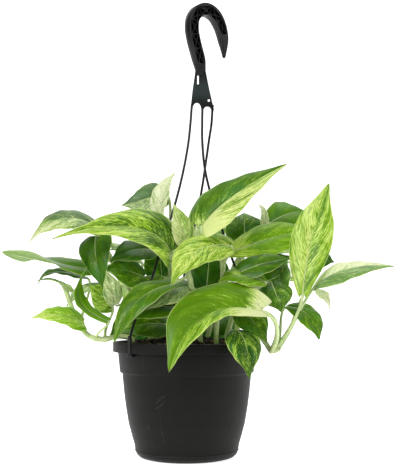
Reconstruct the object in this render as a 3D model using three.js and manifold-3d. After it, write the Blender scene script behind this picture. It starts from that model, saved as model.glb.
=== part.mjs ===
// A marble queen pothos in its black plastic hanging pot, with a three-armed moulded hanger.
// Millimetres, +Z up. The origin is the middle of the pot's foot, on the surface it stands on.
// +X is to the right and +Y to the back, as the plant is looked at from the front.
import * as THREE from "three";
import { mergeVertices } from "three/addons/utils/BufferGeometryUtils.js";
import Module from "manifold-3d";

// Driving dimensions
const FLANGE_RADIUS = 77;
const FLANGE_TOP = 118.9;
const FLANGE_HEIGHT = 10;
const BAND_RADIUS = 71.6;
const BAND_FOOT = 87.8;
const FOOT_RADIUS = 43.6;
const WALL = 1.6;
const DRAIN_HOLES = 6;
const DRAIN_RADIUS = 4;
const DRAIN_REACH = 28;
const GAP = 0.35;
const CLIP_ANGLES = [223, 343, 103];
const NOTCH_DEPTH = 2.5;
const NOTCH_CLEARANCE = 0.9;
const ARM_WIDTH = 2.6;
const STRIP_WIDTH = 4;
const STRIP_THICKNESS = 2.2;
const CLIP_FOOT = [5.2, 8, 2.6];
const HOOK_TURN = 32;
const HOOK_DEPTH = 10;
const HOOK_MIDDLE_X = 15.8;
const SOIL_EDGE = 115.6;
const SOIL_RISE = 7.5;
const HOLE_FOOT = 95;
const HOLE_CLEARANCE = 0.4;
const STEM_RADIUS = 2.7;
const STALK_RADIUS = 0.7;
const STALK_RADIUS_SHARE = 0.033;
const BLADE_THICKNESS = 0.8;
const BLADE_RELAX = 22;
const LOBE_LENGTH = 0.19;
const LOBE_ROUNDING = 0.5;
const WAVE_HEIGHT = 1.4;
const DROP_START = 0.6;
const BLADE_ROWS = 5;
const BLADE_COLUMNS = 4;
const POT_SIDES = 24;
const SHORTEST_EDGE = 0.08;

const wasm = await Module();
wasm.setup();

const vec = (p) => new THREE.Vector3(...p);
const rad = THREE.MathUtils.degToRad;

// A closed geometry as a solid, turned right side out if it is inside out.
function solidOf(geometry) {
  const bare = geometry.clone();
  bare.deleteAttribute("normal");
  bare.deleteAttribute("uv");
  const merged = mergeVertices(bare.index ? bare.toNonIndexed() : bare, 1e-4);
  const at = merged.attributes.position.array;
  const corners = merged.index.array;
  const kept = [];
  let volume = 0;
  for (let i = 0; i < corners.length; i += 3) {
    const [a, b, c] = [corners[i], corners[i + 1], corners[i + 2]];
    if (a === b || b === c || c === a) continue;
    kept.push(a, b, c);
    const [p, q, r] = [a, b, c].map((k) => new THREE.Vector3().fromArray(at, 3 * k));
    volume += p.dot(q.cross(r));
  }
  if (volume < 0) {
    for (let i = 0; i < kept.length; i += 3) {
      [kept[i + 1], kept[i + 2]] = [kept[i + 2], kept[i + 1]];
    }
  }
  const mesh = new wasm.Mesh({
    numProp: 3,
    vertProperties: new Float32Array(at),
    triVerts: new Uint32Array(kept),
  });
  return new wasm.Manifold(mesh);
}

// A solid as a geometry.
function geometryOf(solid) {
  const mesh = solid.getMesh();
  const geometry = new THREE.BufferGeometry();
  const places = new Float32Array((mesh.vertProperties.length / mesh.numProp) * 3);
  for (let i = 0; i < places.length / 3; i++) {
    for (let k = 0; k < 3; k++) places[3 * i + k] = mesh.vertProperties[i * mesh.numProp + k];
  }
  geometry.setAttribute("position", new THREE.BufferAttribute(places, 3));
  geometry.setIndex(new THREE.BufferAttribute(new Uint32Array(mesh.triVerts), 1));
  return geometry;
}

const joined = (solids) => solids.reduce((all, one) => all.add(one));

// A ring turned about Z from a closed profile of radius and height.
function turned(profile, sides) {
  const points = profile.map(([r, z]) => new THREE.Vector2(r, z));
  const geometry = new THREE.LatheGeometry(points, sides);
  geometry.rotateX(Math.PI / 2);
  return solidOf(geometry);
}

// A box of given size, its middle at a place, turned about Z by an angle in degrees.
function block(size, middle, turn = 0) {
  const geometry = new THREE.BoxGeometry(...size);
  geometry.rotateZ(rad(turn));
  geometry.translate(...middle);
  return solidOf(geometry);
}

// A round peg standing on a height.
function peg(radius, sides, x, y, low, high) {
  const geometry = new THREE.CylinderGeometry(radius, radius, high - low, sides);
  geometry.rotateX(Math.PI / 2);
  geometry.translate(x, y, (low + high) / 2);
  return solidOf(geometry);
}

// A tube or bar of an even section along a smooth curve through points.
function bar(points, section, steps) {
  const path = new THREE.CatmullRomCurve3(points, false, "centripetal");
  return solidOf(new THREE.ExtrudeGeometry(section, { steps, extrudePath: path, bevelEnabled: false }));
}

function roundSection(radius, sides) {
  const corners = [];
  for (let i = 0; i < sides; i++) {
    const angle = (2 * Math.PI * i) / sides;
    corners.push(new THREE.Vector2(radius * Math.cos(angle), radius * Math.sin(angle)));
  }
  return new THREE.Shape(corners);
}

// The pot: one thin moulded shell with a rounded foot, a step, a band and a down-turned flange.
const POT_OUTSIDE = [
  [FOOT_RADIUS, 0], [48.6, 1.4], [51.8, 4.2], [53.4, 8.6], [54.2, 14], [57, 23.3], [60.4, 35.9],
  [63.1, 51.6], [65.2, 67.4], [66.9, 85], [67.1, 87], [69.5, BAND_FOOT], [BAND_RADIUS, 107.5],
];
const POT_INSIDE = [
  [FOOT_RADIUS - 1.5, WALL], [50, 5.6], [52.4, 14], [58.7, 35.9], [63.5, 67.4], [65.3, 86],
  [67.8, BAND_FOOT + 1.4], [BAND_RADIUS - WALL, 107.5],
];
const FLANGE_FOOT = FLANGE_TOP - FLANGE_HEIGHT;
const FLANGE_WALL = 1.8;

function pot() {
  const profile = [
    [0, 0],
    ...POT_OUTSIDE,
    [BAND_RADIUS, FLANGE_TOP - FLANGE_WALL],
    [FLANGE_RADIUS - FLANGE_WALL, FLANGE_TOP - FLANGE_WALL],
    [FLANGE_RADIUS - FLANGE_WALL, FLANGE_FOOT],
    [FLANGE_RADIUS, FLANGE_FOOT],
    [FLANGE_RADIUS, FLANGE_TOP],
    [BAND_RADIUS - WALL, FLANGE_TOP],
    ...POT_INSIDE.toReversed(),
    [0, WALL],
  ];
  let shell = turned(profile, POT_SIDES);
  for (let i = 0; i < DRAIN_HOLES; i++) {
    const angle = rad((360 * i) / DRAIN_HOLES);
    const [x, y] = [DRAIN_REACH * Math.cos(angle), DRAIN_REACH * Math.sin(angle)];
    shell = shell.subtract(peg(DRAIN_RADIUS, 8, x, y, -WALL, 2 * WALL));
  }
  for (const angle of CLIP_ANGLES) {
    const [x, y] = [FLANGE_RADIUS * Math.cos(rad(angle)), FLANGE_RADIUS * Math.sin(rad(angle))];
    const notch = [2 * NOTCH_DEPTH, STRIP_WIDTH + 2 * NOTCH_CLEARANCE, 2 * FLANGE_HEIGHT];
    shell = shell.subtract(block(notch, [x, y, FLANGE_TOP - FLANGE_HEIGHT / 2], angle));
  }
  return shell;
}

// The hanger: a hook with an I-shaped section, a flat plate and three long thin arms, moulded as one piece.
// Each arm drops through a notch in the flange and hooks under it with a small foot.
const HOOK_LINE = [
  [-1.2, 401], [-4.3, 417], [-7.8, 428], [-11, 439], [-12.8, 450], [-11.4, 461], [-5.2, 469],
  [4.8, 472.2], [15, 468], [21.9, 458.5], [25.8, 447.5], [27.4, 437], [28.2, 423],
];
const HOOK_HALF_WIDTHS = [5, 5.5, 5.7, 5.8, 5.9, 6, 6.4, 6.6, 6.3, 5.6, 4.6, 3.2, 0.8];
const HOOK_SKIN = 1.7;
const HOOK_WEB = 2.2;
const HOOK_STEPS = 14;
const HOOK_END_DEPTH = 0.3;
const HOOK_FOOT_RUN = 15;
const HOOK_TIP_RUN = 18;
const HOOK_TIP_SIDE = 10;
const HOOK_RIB_SHARE = 0.2;
const PLATE_TOP = 405;
const PLATE_FOOT = 363;
const PLATE_THICKNESS = 3;

// Points of the hook's plane, at a share of its half width to one side of its middle line.
function hookSide(share, inset, steps) {
  const line = new THREE.CatmullRomCurve3(HOOK_LINE.map(([s, z]) => new THREE.Vector3(s, z, 0)));
  const widths = new THREE.CatmullRomCurve3(
    HOOK_HALF_WIDTHS.map((w, i) => new THREE.Vector3(i, w, 0)),
  );
  const side = [];
  for (let i = 0; i <= steps; i++) {
    const t = i / steps;
    const p = line.getPoint(t);
    const d = line.getTangent(t);
    const off = share * Math.max(widths.getPoint(t).y - inset, 0.5);
    side.push(new THREE.Vector2(p.x - d.y * off, p.y + d.x * off));
  }
  return side;
}

// The share of the hook's depth at a point of its plane: it thins to its foot and to its tip.
function depthShare(s, z) {
  const fromFoot = (z - HOOK_LINE[0][1]) / HOOK_FOOT_RUN;
  const fromTip = s < HOOK_TIP_SIDE ? 1 : (z - HOOK_LINE.at(-1)[1]) / HOOK_TIP_RUN;
  return HOOK_END_DEPTH + (1 - HOOK_END_DEPTH) * Math.min(Math.max(Math.min(fromFoot, fromTip), 0), 1);
}

// A flat piece in the hook's plane, of a given depth across it, shifted across it, set in its place.
function inHookPlane(outline, depth, shift = 0) {
  const geometry = new THREE.ExtrudeGeometry(new THREE.Shape(outline), { depth, bevelEnabled: false });
  geometry.translate(0, 0, shift - depth / 2);
  const at = geometry.attributes.position;
  for (let i = 0; i < at.count; i++) {
    at.setZ(i, at.getZ(i) * depthShare(at.getX(i), at.getY(i)));
  }
  geometry.rotateX(Math.PI / 2);
  geometry.rotateZ(rad(HOOK_TURN));
  geometry.translate(HOOK_MIDDLE_X, 0, 0);
  return solidOf(geometry);
}

// The hook: a thick curved bar, hollowed from both faces into three-cornered pockets, so that thin
// flanges, a web between them and a zigzag of ribs are left.
function hook() {
  const [left, right] = [hookSide(1, 0, HOOK_STEPS), hookSide(-1, 0, HOOK_STEPS)];
  const [innerLeft, innerRight] = [1, -1].map((side) => hookSide(side, HOOK_SKIN, HOOK_STEPS));
  const pocketDepth = (HOOK_DEPTH - HOOK_WEB) / 2;
  let body = inHookPlane([...left, ...right.toReversed()], HOOK_DEPTH);
  for (let i = 1; i + 3 < HOOK_STEPS; i += 2) {
    const [a, b, c, d] = [innerLeft[i], innerRight[i], innerRight[i + 2], innerLeft[i + 2]];
    for (const cell of [[a, b, d], [b, c, d]]) {
      const middle = cell[0].clone().add(cell[1]).add(cell[2]).divideScalar(3);
      const pocket = cell.map((p) => p.clone().lerp(middle, HOOK_RIB_SHARE));
      for (const way of [1, -1]) {
        const shift = way * (HOOK_WEB / 2 + pocketDepth);
        body = body.subtract(inHookPlane(pocket, 2 * pocketDepth, shift));
      }
    }
  }
  return body;
}

// The plate below the hook: it widens downwards, ends in two arches between the arms,
// and has a narrow slit and a small hole.
function plate() {
  const outline = new THREE.Shape();
  outline.moveTo(8.6, PLATE_TOP);
  outline.lineTo(19.8, PLATE_TOP);
  outline.lineTo(23.3, 387);
  outline.lineTo(28.6, PLATE_FOOT);
  outline.lineTo(25.4, PLATE_FOOT);
  outline.absellipse(21.4, PLATE_FOOT, 4, 4, 0, Math.PI, false);
  outline.lineTo(15, PLATE_FOOT);
  outline.absellipse(10.3, PLATE_FOOT, 4.7, 8, 0, Math.PI, false);
  outline.lineTo(3.4, PLATE_FOOT);
  outline.lineTo(5.6, 384);
  const geometry = new THREE.ExtrudeGeometry(outline, {
    depth: PLATE_THICKNESS, bevelEnabled: false, curveSegments: 6,
  });
  geometry.rotateX(Math.PI / 2);
  geometry.translate(0, PLATE_THICKNESS / 2, 0);
  return solidOf(geometry)
    .subtract(block([1.7, 12, 9.5], [11.5, 0, 395.5]))
    .subtract(block([2.2, 12, 2.6], [23, 0, 373.5]));
}

// Middle lines of the arms, from the plate down to the flange: left, right and back.
const ARM_LINES = [
  [[5, 0, 369], [3.4, -3, 347], [1.2, -6, 326], [-5, -12, 291], [-14.8, -19, 252], [-26, -28, 216],
    [-35, -35.5, 184], [-52, -48.6, 139]],
  [[16.3, 0, 369], [15.9, -1.5, 347], [16, -3, 330], [18.3, -5, 303], [23, -7, 280], [36, -11, 237],
    [52, -16.2, 190], [68.4, -20.9, 141]],
  [[27.2, 0, 369], [25.6, 4, 347], [23.8, 8, 336], [20, 15, 310], [15.2, 22, 279], [5.5, 37, 233],
    [-5, 54, 184], [-14.6, 69.6, 141]],
];

function arm(line, angle) {
  const out = [Math.cos(rad(angle)), Math.sin(rad(angle))];
  const at = (reach, z) => [out[0] * reach, out[1] * reach, z];
  const reach = FLANGE_RADIUS - STRIP_THICKNESS / 4;
  const [low, high] = [FLANGE_FOOT - GAP - CLIP_FOOT[2], FLANGE_TOP + 2 * ARM_WIDTH];
  const rod = bar([...line, at(reach, high)].map(vec), roundSection(ARM_WIDTH / 2, 6), 10);
  const stripHeight = high + ARM_WIDTH - low;
  const strip = block([STRIP_THICKNESS, STRIP_WIDTH, stripHeight], at(reach, low + stripHeight / 2), angle);
  const footReach = reach - (CLIP_FOOT[0] - STRIP_THICKNESS) / 2;
  const foot = block(CLIP_FOOT, at(footReach, low + CLIP_FOOT[2] / 2), angle);
  return joined([rod, strip, foot]);
}

function hanger() {
  return joined([hook(), plate(), ...ARM_LINES.map((line, i) => arm(line, CLIP_ANGLES[i]))]);
}

// The stems. Each stands upright in its own hole in the potting mix, then bends to its leaves.
// Points are of the middle line above the mix.
const STEMS = {
  front_left: [[14, -42, 123], [13, -43, 147], [6, -40, 172], [0, -36, 199]],
  centre: [[30, -42, 123], [31, -43, 147], [36, -36, 177], [37, -32, 205]],
  front_right: [[46, -26, 123], [52, -32, 135], [52, -36, 147]],
  left_high: [[-14, 4, 123], [-16, 2, 157], [-17, -6, 187], [-18, -14, 213]],
  left_mid: [[-38, -4, 123], [-50, -6, 155], [-68, -8, 185], [-84, -6, 213]],
  left_low: [
    [-56, -14, 123], [-70, -18, 125], [-86, -22, 122], [-100, -24, 126],
    [-112, -22, 141], [-122, -19, 165], [-126, -17, 177],
  ],
  right_low: [[56, -4, 123], [72, -7, 128], [82, -11, 117], [87, -15, 110], [96, -16, 113]],
  right_mid: [[42, 6, 123], [50, 8, 155], [55, 8, 183], [56, 4, 209]],
  right_high: [[22, 24, 123], [32, 24, 162], [50, 20, 197], [62, 20, 221]],
  back_left: [[-36, 32, 123], [-44, 38, 157], [-54, 46, 189]],
  back: [[8, 46, 123], [9, 58, 162], [10, 66, 201]],
  back_right: [[42, 32, 123], [52, 40, 155], [64, 50, 187]],
};

// The leaves. Stem, share of the stem's length where the leaf stalk leaves it, base of the blade,
// tip of the blade, the way its upper face looks, width, fold, arch, share of the length where it
// arches, sweep to the side, turn at the base, twist at the tip, drop of the tip, and the waist: under
// one, the blade is widest near its base.
const LEAVES = [
  ["front_left", 0.8, [-16, -54, 177], [-70, -80, 121], [-0.45, -0.66, 0.6],
    35, 26, 10, 0.4, 6, 0, -20, 2, 0.75],
  ["front_left", 0.6, [4, -36, 176], [-48, -60, 150], [-0.1, -0.7, 0.7], 38, 20, 5, 0.5, 3, 0, 0, 3, 0.75],
  ["front_left", 0.4, [-10, -42, 155], [-58, -68, 143], [-0.1, -0.7, 0.7],
    34, 20, 4, 0.5, 3, 0, 0, 2, 0.75],
  ["front_left", 0.95, [0, -32, 220], [-13, -46, 259], [0.3, -0.8, 0.2], 26, 20, 2, 0.5, 0, 0, 0, 0, 0.6],
  ["centre", 0.9, [44, -46, 216], [-14, -83, 178], [-0.15, -0.8, 0.6], 44, 18, 5, 0.35, 14, 0, 0, 3, 0.75],
  ["centre", 0.95, [16, -40, 237], [103, -30, 303], [-0.5, -0.62, 0.58],
    66, 26, 6, 0.3, -1, 0, 10, 2, 0.56],
  ["centre", 0.5, [78, -40, 181], [31, -46, 182], [0, -0.6, 0.8], 34, 18, 5, 0.5, 4, 0, 0, 3, 0.75],
  ["centre", 0.7, [52, -40, 189], [106, -34, 205], [-0.1, -0.8, 0.6], 28, 20, 4, 0.5, 0, 0, 0, 2, 0.75],
  ["centre", 0.5, [20, -20, 173], [24, 4, 219], [0.1, -0.9, 0.3], 47, 15, 6, 0.5, 0, 0, 0, 0, 0.75],
  ["centre", 0.95, [45, -26, 211], [140, 14, 240], [-0.15, -0.9, 0.4], 38, 18, 5, 0.45, 0, 0, 0, 2, 0.95],
  ["front_right", 0.6, [51, -60, 132], [62, -82, 87], [0.4, -0.85, 0.35], 39, 12, 8, 0.3, 0, 0, 0, 2, 0.85],
  ["front_right", 0.9, [56, -36, 153], [80, -62, 121], [0.1, -0.8, 0.5], 34, 18, 4, 0.4, 0, 0, 0, 2, 0.75],
  ["left_high", 0.9, [-16, -43, 211], [-136, -60, 225], [-0.05, -0.6, 0.8],
    62, 30, 22.5, 0.22, 0, -20, 6, 4, 0.58],
  ["left_high", 0.95, [-28, -14, 247], [-13, -12, 296], [-0.6, -0.75, 0.3],
    27, 44, 2, 0.5, -3, 0, 0, 2, 0.75],
  ["left_high", 0.95, [-29, 8, 275], [-71, 8, 263], [-0.1, -0.9, 0.3], 35, 18, 3, 0.5, -3, 0, 0, 2, 0.45],
  ["left_high", 0.66, [-26, -2, 181], [-30, 8, 229], [0, -0.9, 0.3], 36, 22, 3, 0.5, 0, 0, 0, 2, 0.75],
  ["left_high", 0.35, [-24, -18, 160], [-50, -28, 186], [-0.1, -0.7, 0.7],
    40, 18, 6, 0.5, 0, 0, 0, 2, 0.75],
  ["left_high", 0.8, [-36, -18, 214], [-78, -37, 202], [-0.1, -0.75, 0.65],
    36, 20, 6, 0.5, 0, 0, 0, 2, 0.75],
  ["left_high", 0.6, [-44, -20, 186], [-83, -40, 194], [-0.1, -0.85, 0.5],
    38, 20, 4, 0.5, 0, 0, 0, 2, 0.75],
  ["left_high", 0.25, [-18, 12, 145], [-50, 8, 128], [0, -0.9, 0.4], 34, 18, 3, 0.5, 0, 0, 0, 0, 0.75],
  ["left_mid", 0.95, [-92, -12, 237], [-165, -34, 225], [-0.2, -0.65, 0.75],
    44, 18, 17, 0.46, 0, 0, 0, 8, 0.62],
  ["left_mid", 0.8, [-93, -20, 193], [-184, -52, 210], [0.1, -0.35, 0.93],
    54, 24, -1, 0.45, 0, -20, 62, 0, 1.2],
  ["left_mid", 0.9, [-94, -18, 228], [-82, -40, 171], [-0.4, -0.8, 0.4], 38, 20, 8, 0.4, 0, 0, 0, 0, 0.55],
  ["left_mid", 0.4, [-72, -34, 158], [-80, -50, 192], [0.2, -0.85, 0.1], 20, 18, 4, 0.5, 0, 0, 0, 0, 0.75],
  ["left_mid", 0.25, [-19, -16, 137], [-69, -38, 131], [-0.1, -0.8, 0.5], 34, 18, 6, 0.5, 0, 0, 0, 2, 0.75],
  ["left_mid", 0.15, [-52, 6, 141], [-81, 0, 124], [0.1, -0.9, 0.35], 30, 18, 3, 0.5, 0, 0, 0, 0, 0.75],
  ["left_low", 0.6, [-106, -8, 186], [-157, -24, 185], [0, -0.35, 0.93], 28, 26, 6, 0.6, 0, 0, 0, 10, 0.5],
  ["left_low", 0.98, [-119, -18, 171], [-152, -40, 181], [0, -0.15, 1], 25, 24, 6, 0.5, 0, 0, 0, 0, 0.75],
  ["left_low", 0.62, [-105, -28, 139], [-155, -50, 145], [-0.1, -0.7, 0.7],
    31, 18, 8, 0.5, 0, 0, 0, 2, 0.6],
  ["left_low", 0.4, [-79, -42, 141], [-98, -56, 195], [0.75, -0.6, 0.1],
    17, 30, -27, 0.45, 0, 0, 0, 0, 0.75],
  ["left_low", 0.3, [-77, -14, 156], [-100, -26, 177], [0.1, -0.9, 0.3], 30, 18, 4, 0.5, 0, 0, 0, 0, 0.75],
  ["right_low", 0.75, [74, -66, 151], [-17, -103, 98], [-0.2, -0.5, 0.87],
    70, 42, 15, 0.42, 21, 0, -14, 8, 0.75],
  ["right_low", 0.85, [118, -34, 169], [146, -28, 282], [-0.2, -0.95, 0.1],
    43, 20, -8, 0.45, -5, 0, 0, 2, 1.1],
  ["right_low", 0.95, [133, -20, 177], [213, -30, 199], [-0.1, -0.5, 0.87],
    39, 16, 9, 0.3, 0, 0, 0, 3, 0.9],
  ["right_low", 0.9, [106, -10, 155], [136, -26, 122], [0.4, -0.7, 0.5], 31, 18, 6, 0.4, -6, 0, 0, 2, 1.05],
  ["right_low", 0.98, [135, 4, 173], [151, 0, 152], [0.5, -0.6, 0.6], 17, 18, 5, 0.4, 0, 0, 0, 2, 0.75],
  ["right_mid", 0.75, [65, -26, 189], [108, -6, 208], [-0.1, -0.9, 0.4], 34, 18, 3, 0.5, 0, 0, 0, 0, 0.75],
  ["right_mid", 0.4, [87, -30, 178], [95, -46, 150], [0.1, -0.9, 0.3], 36, 18, 3, 0.5, 0, 0, 0, 0, 0.75],
  ["right_mid", 0.55, [95, -20, 175], [104, -18, 201], [-0.3, -0.5, 0.8], 30, 20, 5, 0.5, 0, 0, 0, 0, 0.75],
  ["right_high", 0.95, [90, 34, 246], [133, 50, 260], [0.1, -0.75, 0.65], 46, 16, 6, 0.5, 0, 0, 0, 2, 0.75],
  ["right_high", 0.9, [62, 16, 223], [62, 40, 259], [-0.1, -0.8, 0.5], 43, 16, 6, 0.5, 0, 0, 0, 2, 0.75],
  ["right_high", 0.95, [80, 16, 239], [76, 24, 267], [0.3, -0.8, 0.3], 9, 18, 4, 0.5, 4, 0, 0, 2, 0.75],
  ["right_high", 0.7, [136, 20, 203], [156, 10, 202], [0, -0.8, 0.6], 26, 18, 4, 0.5, 0, 0, 0, 0, 0.75],
  ["back_left", 0.95, [-62, 58, 211], [-120, 100, 227], [-0.2, 0.3, 0.9], 52, 18, 8, 0.5, 0, 0, 0, 4, 0.75],
  ["back_left", 0.7, [-80, 50, 177], [-140, 84, 157], [-0.4, 0.2, 0.85], 48, 18, 10, 0.4, 0, 0, 0, 4, 0.75],
  ["back_left", 0.6, [-46, 76, 185], [-78, 138, 163], [-0.2, 0.6, 0.7], 48, 18, 10, 0.4, 0, 0, 0, 4, 0.75],
  ["back_left", 0.95, [-50, 32, 204], [-84, 20, 218], [0.1, -0.3, 0.9], 42, 18, 6, 0.5, 0, 0, 0, 3, 0.75],
  ["back_left", 0.85, [-74, 40, 201], [-130, 44, 199], [-0.2, 0.1, 0.95], 44, 18, 8, 0.4, 0, 0, 0, 4, 0.75],
  ["back_left", 0.35, [-48, 92, 155], [-45, 90, 94], [0, -0.9, 0.3], 50, 18, 3, 0.5, 0, 0, 0, 0, 0.75],
  ["back", 0.9, [8, 88, 211], [-14, 150, 223], [-0.1, 0.2, 0.95], 54, 18, 10, 0.4, 0, 0, 0, 6, 0.75],
  ["back", 0.6, [26, 90, 160], [22, 95, 92], [0, -0.9, 0.3], 50, 18, 3, 0.4, 0, 0, 0, 4, 0.75],
  ["back", 0.5, [-10, 88, 165], [-36, 148, 137], [-0.1, 0.7, 0.6], 50, 18, 10, 0.4, 0, 0, 0, 4, 0.75],
  ["back", 0.95, [18, 72, 227], [30, 96, 267], [0.1, -0.6, 0.6], 40, 18, 4, 0.5, 0, 0, 0, 2, 0.75],
  ["back", 0.3, [42, 52, 145], [20, 38, 125], [0, -0.9, 0.4], 42, 18, 3, 0.5, 0, 0, 0, 0, 0.75],
  ["back_right", 0.95, [76, 60, 201], [134, 92, 219], [0.2, 0.3, 0.9], 52, 18, 8, 0.5, 0, 0, 0, 4, 0.75],
  ["back_right", 0.75, [84, 44, 175], [140, 72, 181], [0.3, 0.2, 0.9], 46, 18, 8, 0.4, 0, 0, 0, 4, 0.75],
  ["back_right", 0.5, [68, 72, 177], [110, 118, 169], [0.3, 0.5, 0.8], 48, 18, 10, 0.4, 0, 0, 0, 4, 0.75],
  ["back_right", 0.9, [64, 66, 219], [92, 104, 253], [0.2, -0.3, 0.9], 46, 18, 6, 0.5, 0, 0, 0, 2, 0.75],
];

// Half width of a blade at a share of its length, as a share of its greatest half width.
const halfWidth = (u, waist) => Math.sin(Math.PI * ((u + 0.07) / 1.07) ** waist) ** 0.9;

// The middle line of a blade and the directions across it at a share of its length: a curve from
// base to tip bent by its arch and sweep, with its face turned at the base and twisted at the tip.
function midribAt(leaf, u) {
  const [, , base, tip, face, , , arch, lead, sweep, turn, twist, drop] = leaf;
  const [b, t, f] = [vec(base), vec(tip), vec(face)];
  const d = t.clone().sub(b).normalize();
  const n = f.clone().addScaledVector(d, -f.dot(d)).normalize();
  const s = d.clone().cross(n);
  const middle = b.clone().lerp(t, lead).addScaledVector(n, 2 * arch).addScaledVector(s, 2 * sweep);
  const place = new THREE.QuadraticBezierCurve3(b, middle, t).getPoint(u);
  const along = middle.clone().sub(b).multiplyScalar(1 - u).addScaledVector(t.clone().sub(middle), u);
  along.normalize();
  const up = n.clone().addScaledVector(along, -n.dot(along)).normalize();
  const angle = rad(turn * (1 - u) ** 2 + twist * u ** 2);
  up.applyAxisAngle(along, angle);
  const side = along.clone().cross(up);
  const dropShare = THREE.MathUtils.clamp((u - DROP_START) / (1 - DROP_START), 0, 1);
  place.addScaledVector(up, -drop * dropShare ** 2);
  return { place, along, up, side };
}

// A point of a blade at a share of its length and of its half width, with the fold along the
// midrib, a falling margin, a slow wave along the margin and the rounded lobes beside the stalk.
function bladePoint(leaf, u, v) {
  const [, , base, , , width, fold, , , , , , , waist] = leaf;
  const { place, along, up, side } = midribAt(leaf, u);
  const r = Math.abs(v);
  const angle = rad(fold - BLADE_RELAX * r);
  const reach = (width / 2) * halfWidth(u, waist) * r;
  const phase = base[0] * 0.01 + base[2] * 0.02;
  const turns = 1.6 * u + 0.3 * v + phase;
  const wave = WAVE_HEIGHT * r * r * Math.sin(2 * Math.PI * turns) * (1 - u);
  return place
    .addScaledVector(side, Math.sign(v) * reach * Math.cos(angle))
    .addScaledVector(up, reach * Math.sin(angle) + wave)
    .addScaledVector(along, -LOBE_LENGTH * width * (r ** 1.5 - LOBE_ROUNDING * r ** 6) * (1 - u) ** 5);
}

// A blade: the same net of triangles on both faces, drawn together to a point at the tip.
function blade(leaf) {
  const [rows, columns] = [BLADE_ROWS, BLADE_COLUMNS];
  const net = [];
  for (let i = 0; i < rows; i++) {
    net.push([]);
    for (let j = 0; j <= columns; j++) {
      net[i].push(bladePoint(leaf, i / rows, (2 * j) / columns - 1));
    }
  }
  const tip = bladePoint(leaf, 1, 0);
  const faces = [1, -1].map((way) => net.map((row, i) => row.map((p, j) => {
    const next = i + 1 < rows ? net[i + 1][j] : tip;
    const last = i > 0 ? net[i - 1][j] : p;
    const across = row[Math.min(j + 1, columns)].clone().sub(row[Math.max(j - 1, 0)]);
    const normal = next.clone().sub(last).cross(across).normalize();
    return p.clone().addScaledVector(normal, (-way * BLADE_THICKNESS) / 2);
  })));
  const [top, under] = faces;
  const corners = [];
  const triangle = (...points) => points.forEach((p) => corners.push(p.x, p.y, p.z));
  const strip = (a, b, c, d) => {
    triangle(a, b, c);
    triangle(a, c, d);
  };
  for (let i = 0; i + 1 < rows; i++) {
    for (let j = 0; j < columns; j++) {
      strip(top[i][j], top[i + 1][j], top[i + 1][j + 1], top[i][j + 1]);
      triangle(under[i][j], under[i + 1][j + 1], under[i + 1][j]);
      triangle(under[i][j], under[i][j + 1], under[i + 1][j + 1]);
    }
    strip(top[i][0], under[i][0], under[i + 1][0], top[i + 1][0]);
    strip(top[i][columns], top[i + 1][columns], under[i + 1][columns], under[i][columns]);
  }
  const [lastTop, lastUnder] = [top[rows - 1], under[rows - 1]];
  for (let j = 0; j < columns; j++) {
    strip(top[0][j], top[0][j + 1], under[0][j + 1], under[0][j]);
    triangle(lastTop[j], tip, lastTop[j + 1]);
    triangle(lastUnder[j], lastUnder[j + 1], tip);
  }
  triangle(lastTop[0], lastUnder[0], tip);
  triangle(lastTop[columns], tip, lastUnder[columns]);
  const geometry = new THREE.BufferGeometry();
  geometry.setAttribute("position", new THREE.Float32BufferAttribute(corners, 3));
  return solidOf(geometry);
}

// A leaf stalk: from the middle of the stem to the base of the blade, and a little way under it.
function stalk(leaf, stemLine) {
  const [, share, , , , width] = leaf;
  const radius = STALK_RADIUS + STALK_RADIUS_SHARE * width;
  const start = stemLine.getPoint(share);
  const base = midribAt(leaf, 0);
  const under = midribAt(leaf, 0.05);
  const length = start.distanceTo(base.place);
  const rise = stemLine.getTangent(share).multiplyScalar(0.4)
    .addScaledVector(base.place.clone().sub(start).normalize(), 0.6);
  rise.z += 0.2;
  const curve = new THREE.CubicBezierCurve3(
    start,
    start.clone().addScaledVector(rise.normalize(), 0.35 * length),
    base.place.clone().addScaledVector(base.along, -0.3 * length),
    base.place,
  );
  const points = [...curve.getPoints(3), under.place];
  return bar(points, roundSection(radius, 4), 3);
}

// A stem with its leaves in one piece, without the tiny edges where its parts cross.
function leafyStem(name) {
  const points = STEMS[name].map(vec);
  const stemLine = new THREE.CatmullRomCurve3(points, false, "centripetal");
  const [x, y, z] = STEMS[name][0];
  const pieces = [
    peg(STEM_RADIUS, 6, x, y, HOLE_FOOT + GAP, z + 1),
    bar(points, roundSection(STEM_RADIUS, 6), 2 * points.length),
  ];
  for (const leaf of LEAVES.filter((row) => row[0] === name)) {
    pieces.push(stalk(leaf, stemLine), blade(leaf));
  }
  return joined(pieces).simplify(SHORTEST_EDGE);
}

// The potting mix: it fills the pot to just under the flange, higher in the middle, with a plain
// upright hole for each stem.
function pottingMix() {
  const profile = [
    [0, WALL + GAP],
    ...POT_INSIDE.map(([r, z]) => [r - GAP, z + GAP]),
    [BAND_RADIUS - WALL - GAP, SOIL_EDGE],
    [40, SOIL_EDGE + SOIL_RISE * 0.7],
    [0, SOIL_EDGE + SOIL_RISE],
  ];
  return Object.values(STEMS).reduce(
    (mix, [[x, y, z]]) => mix.subtract(peg(STEM_RADIUS + HOLE_CLEARANCE, 6, x, y, HOLE_FOOT, z + 4)),
    turned(profile, POT_SIDES),
  );
}

const plastic = { color: 0x242425, roughness: 0.5, metalness: 0 };
const MATERIALS = {
  pot: plastic,
  hanger: { ...plastic, roughness: 0.42 },
  potting_mix: { color: 0x33261b, roughness: 0.95, metalness: 0 },
  leaves: { color: 0x7fa63c, roughness: 0.4, metalness: 0 },
};

const group = new THREE.Group();

function add(name, solid, material) {
  const mesh = new THREE.Mesh(geometryOf(solid), new THREE.MeshStandardMaterial(MATERIALS[material]));
  mesh.name = name;
  group.add(mesh);
}

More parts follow.
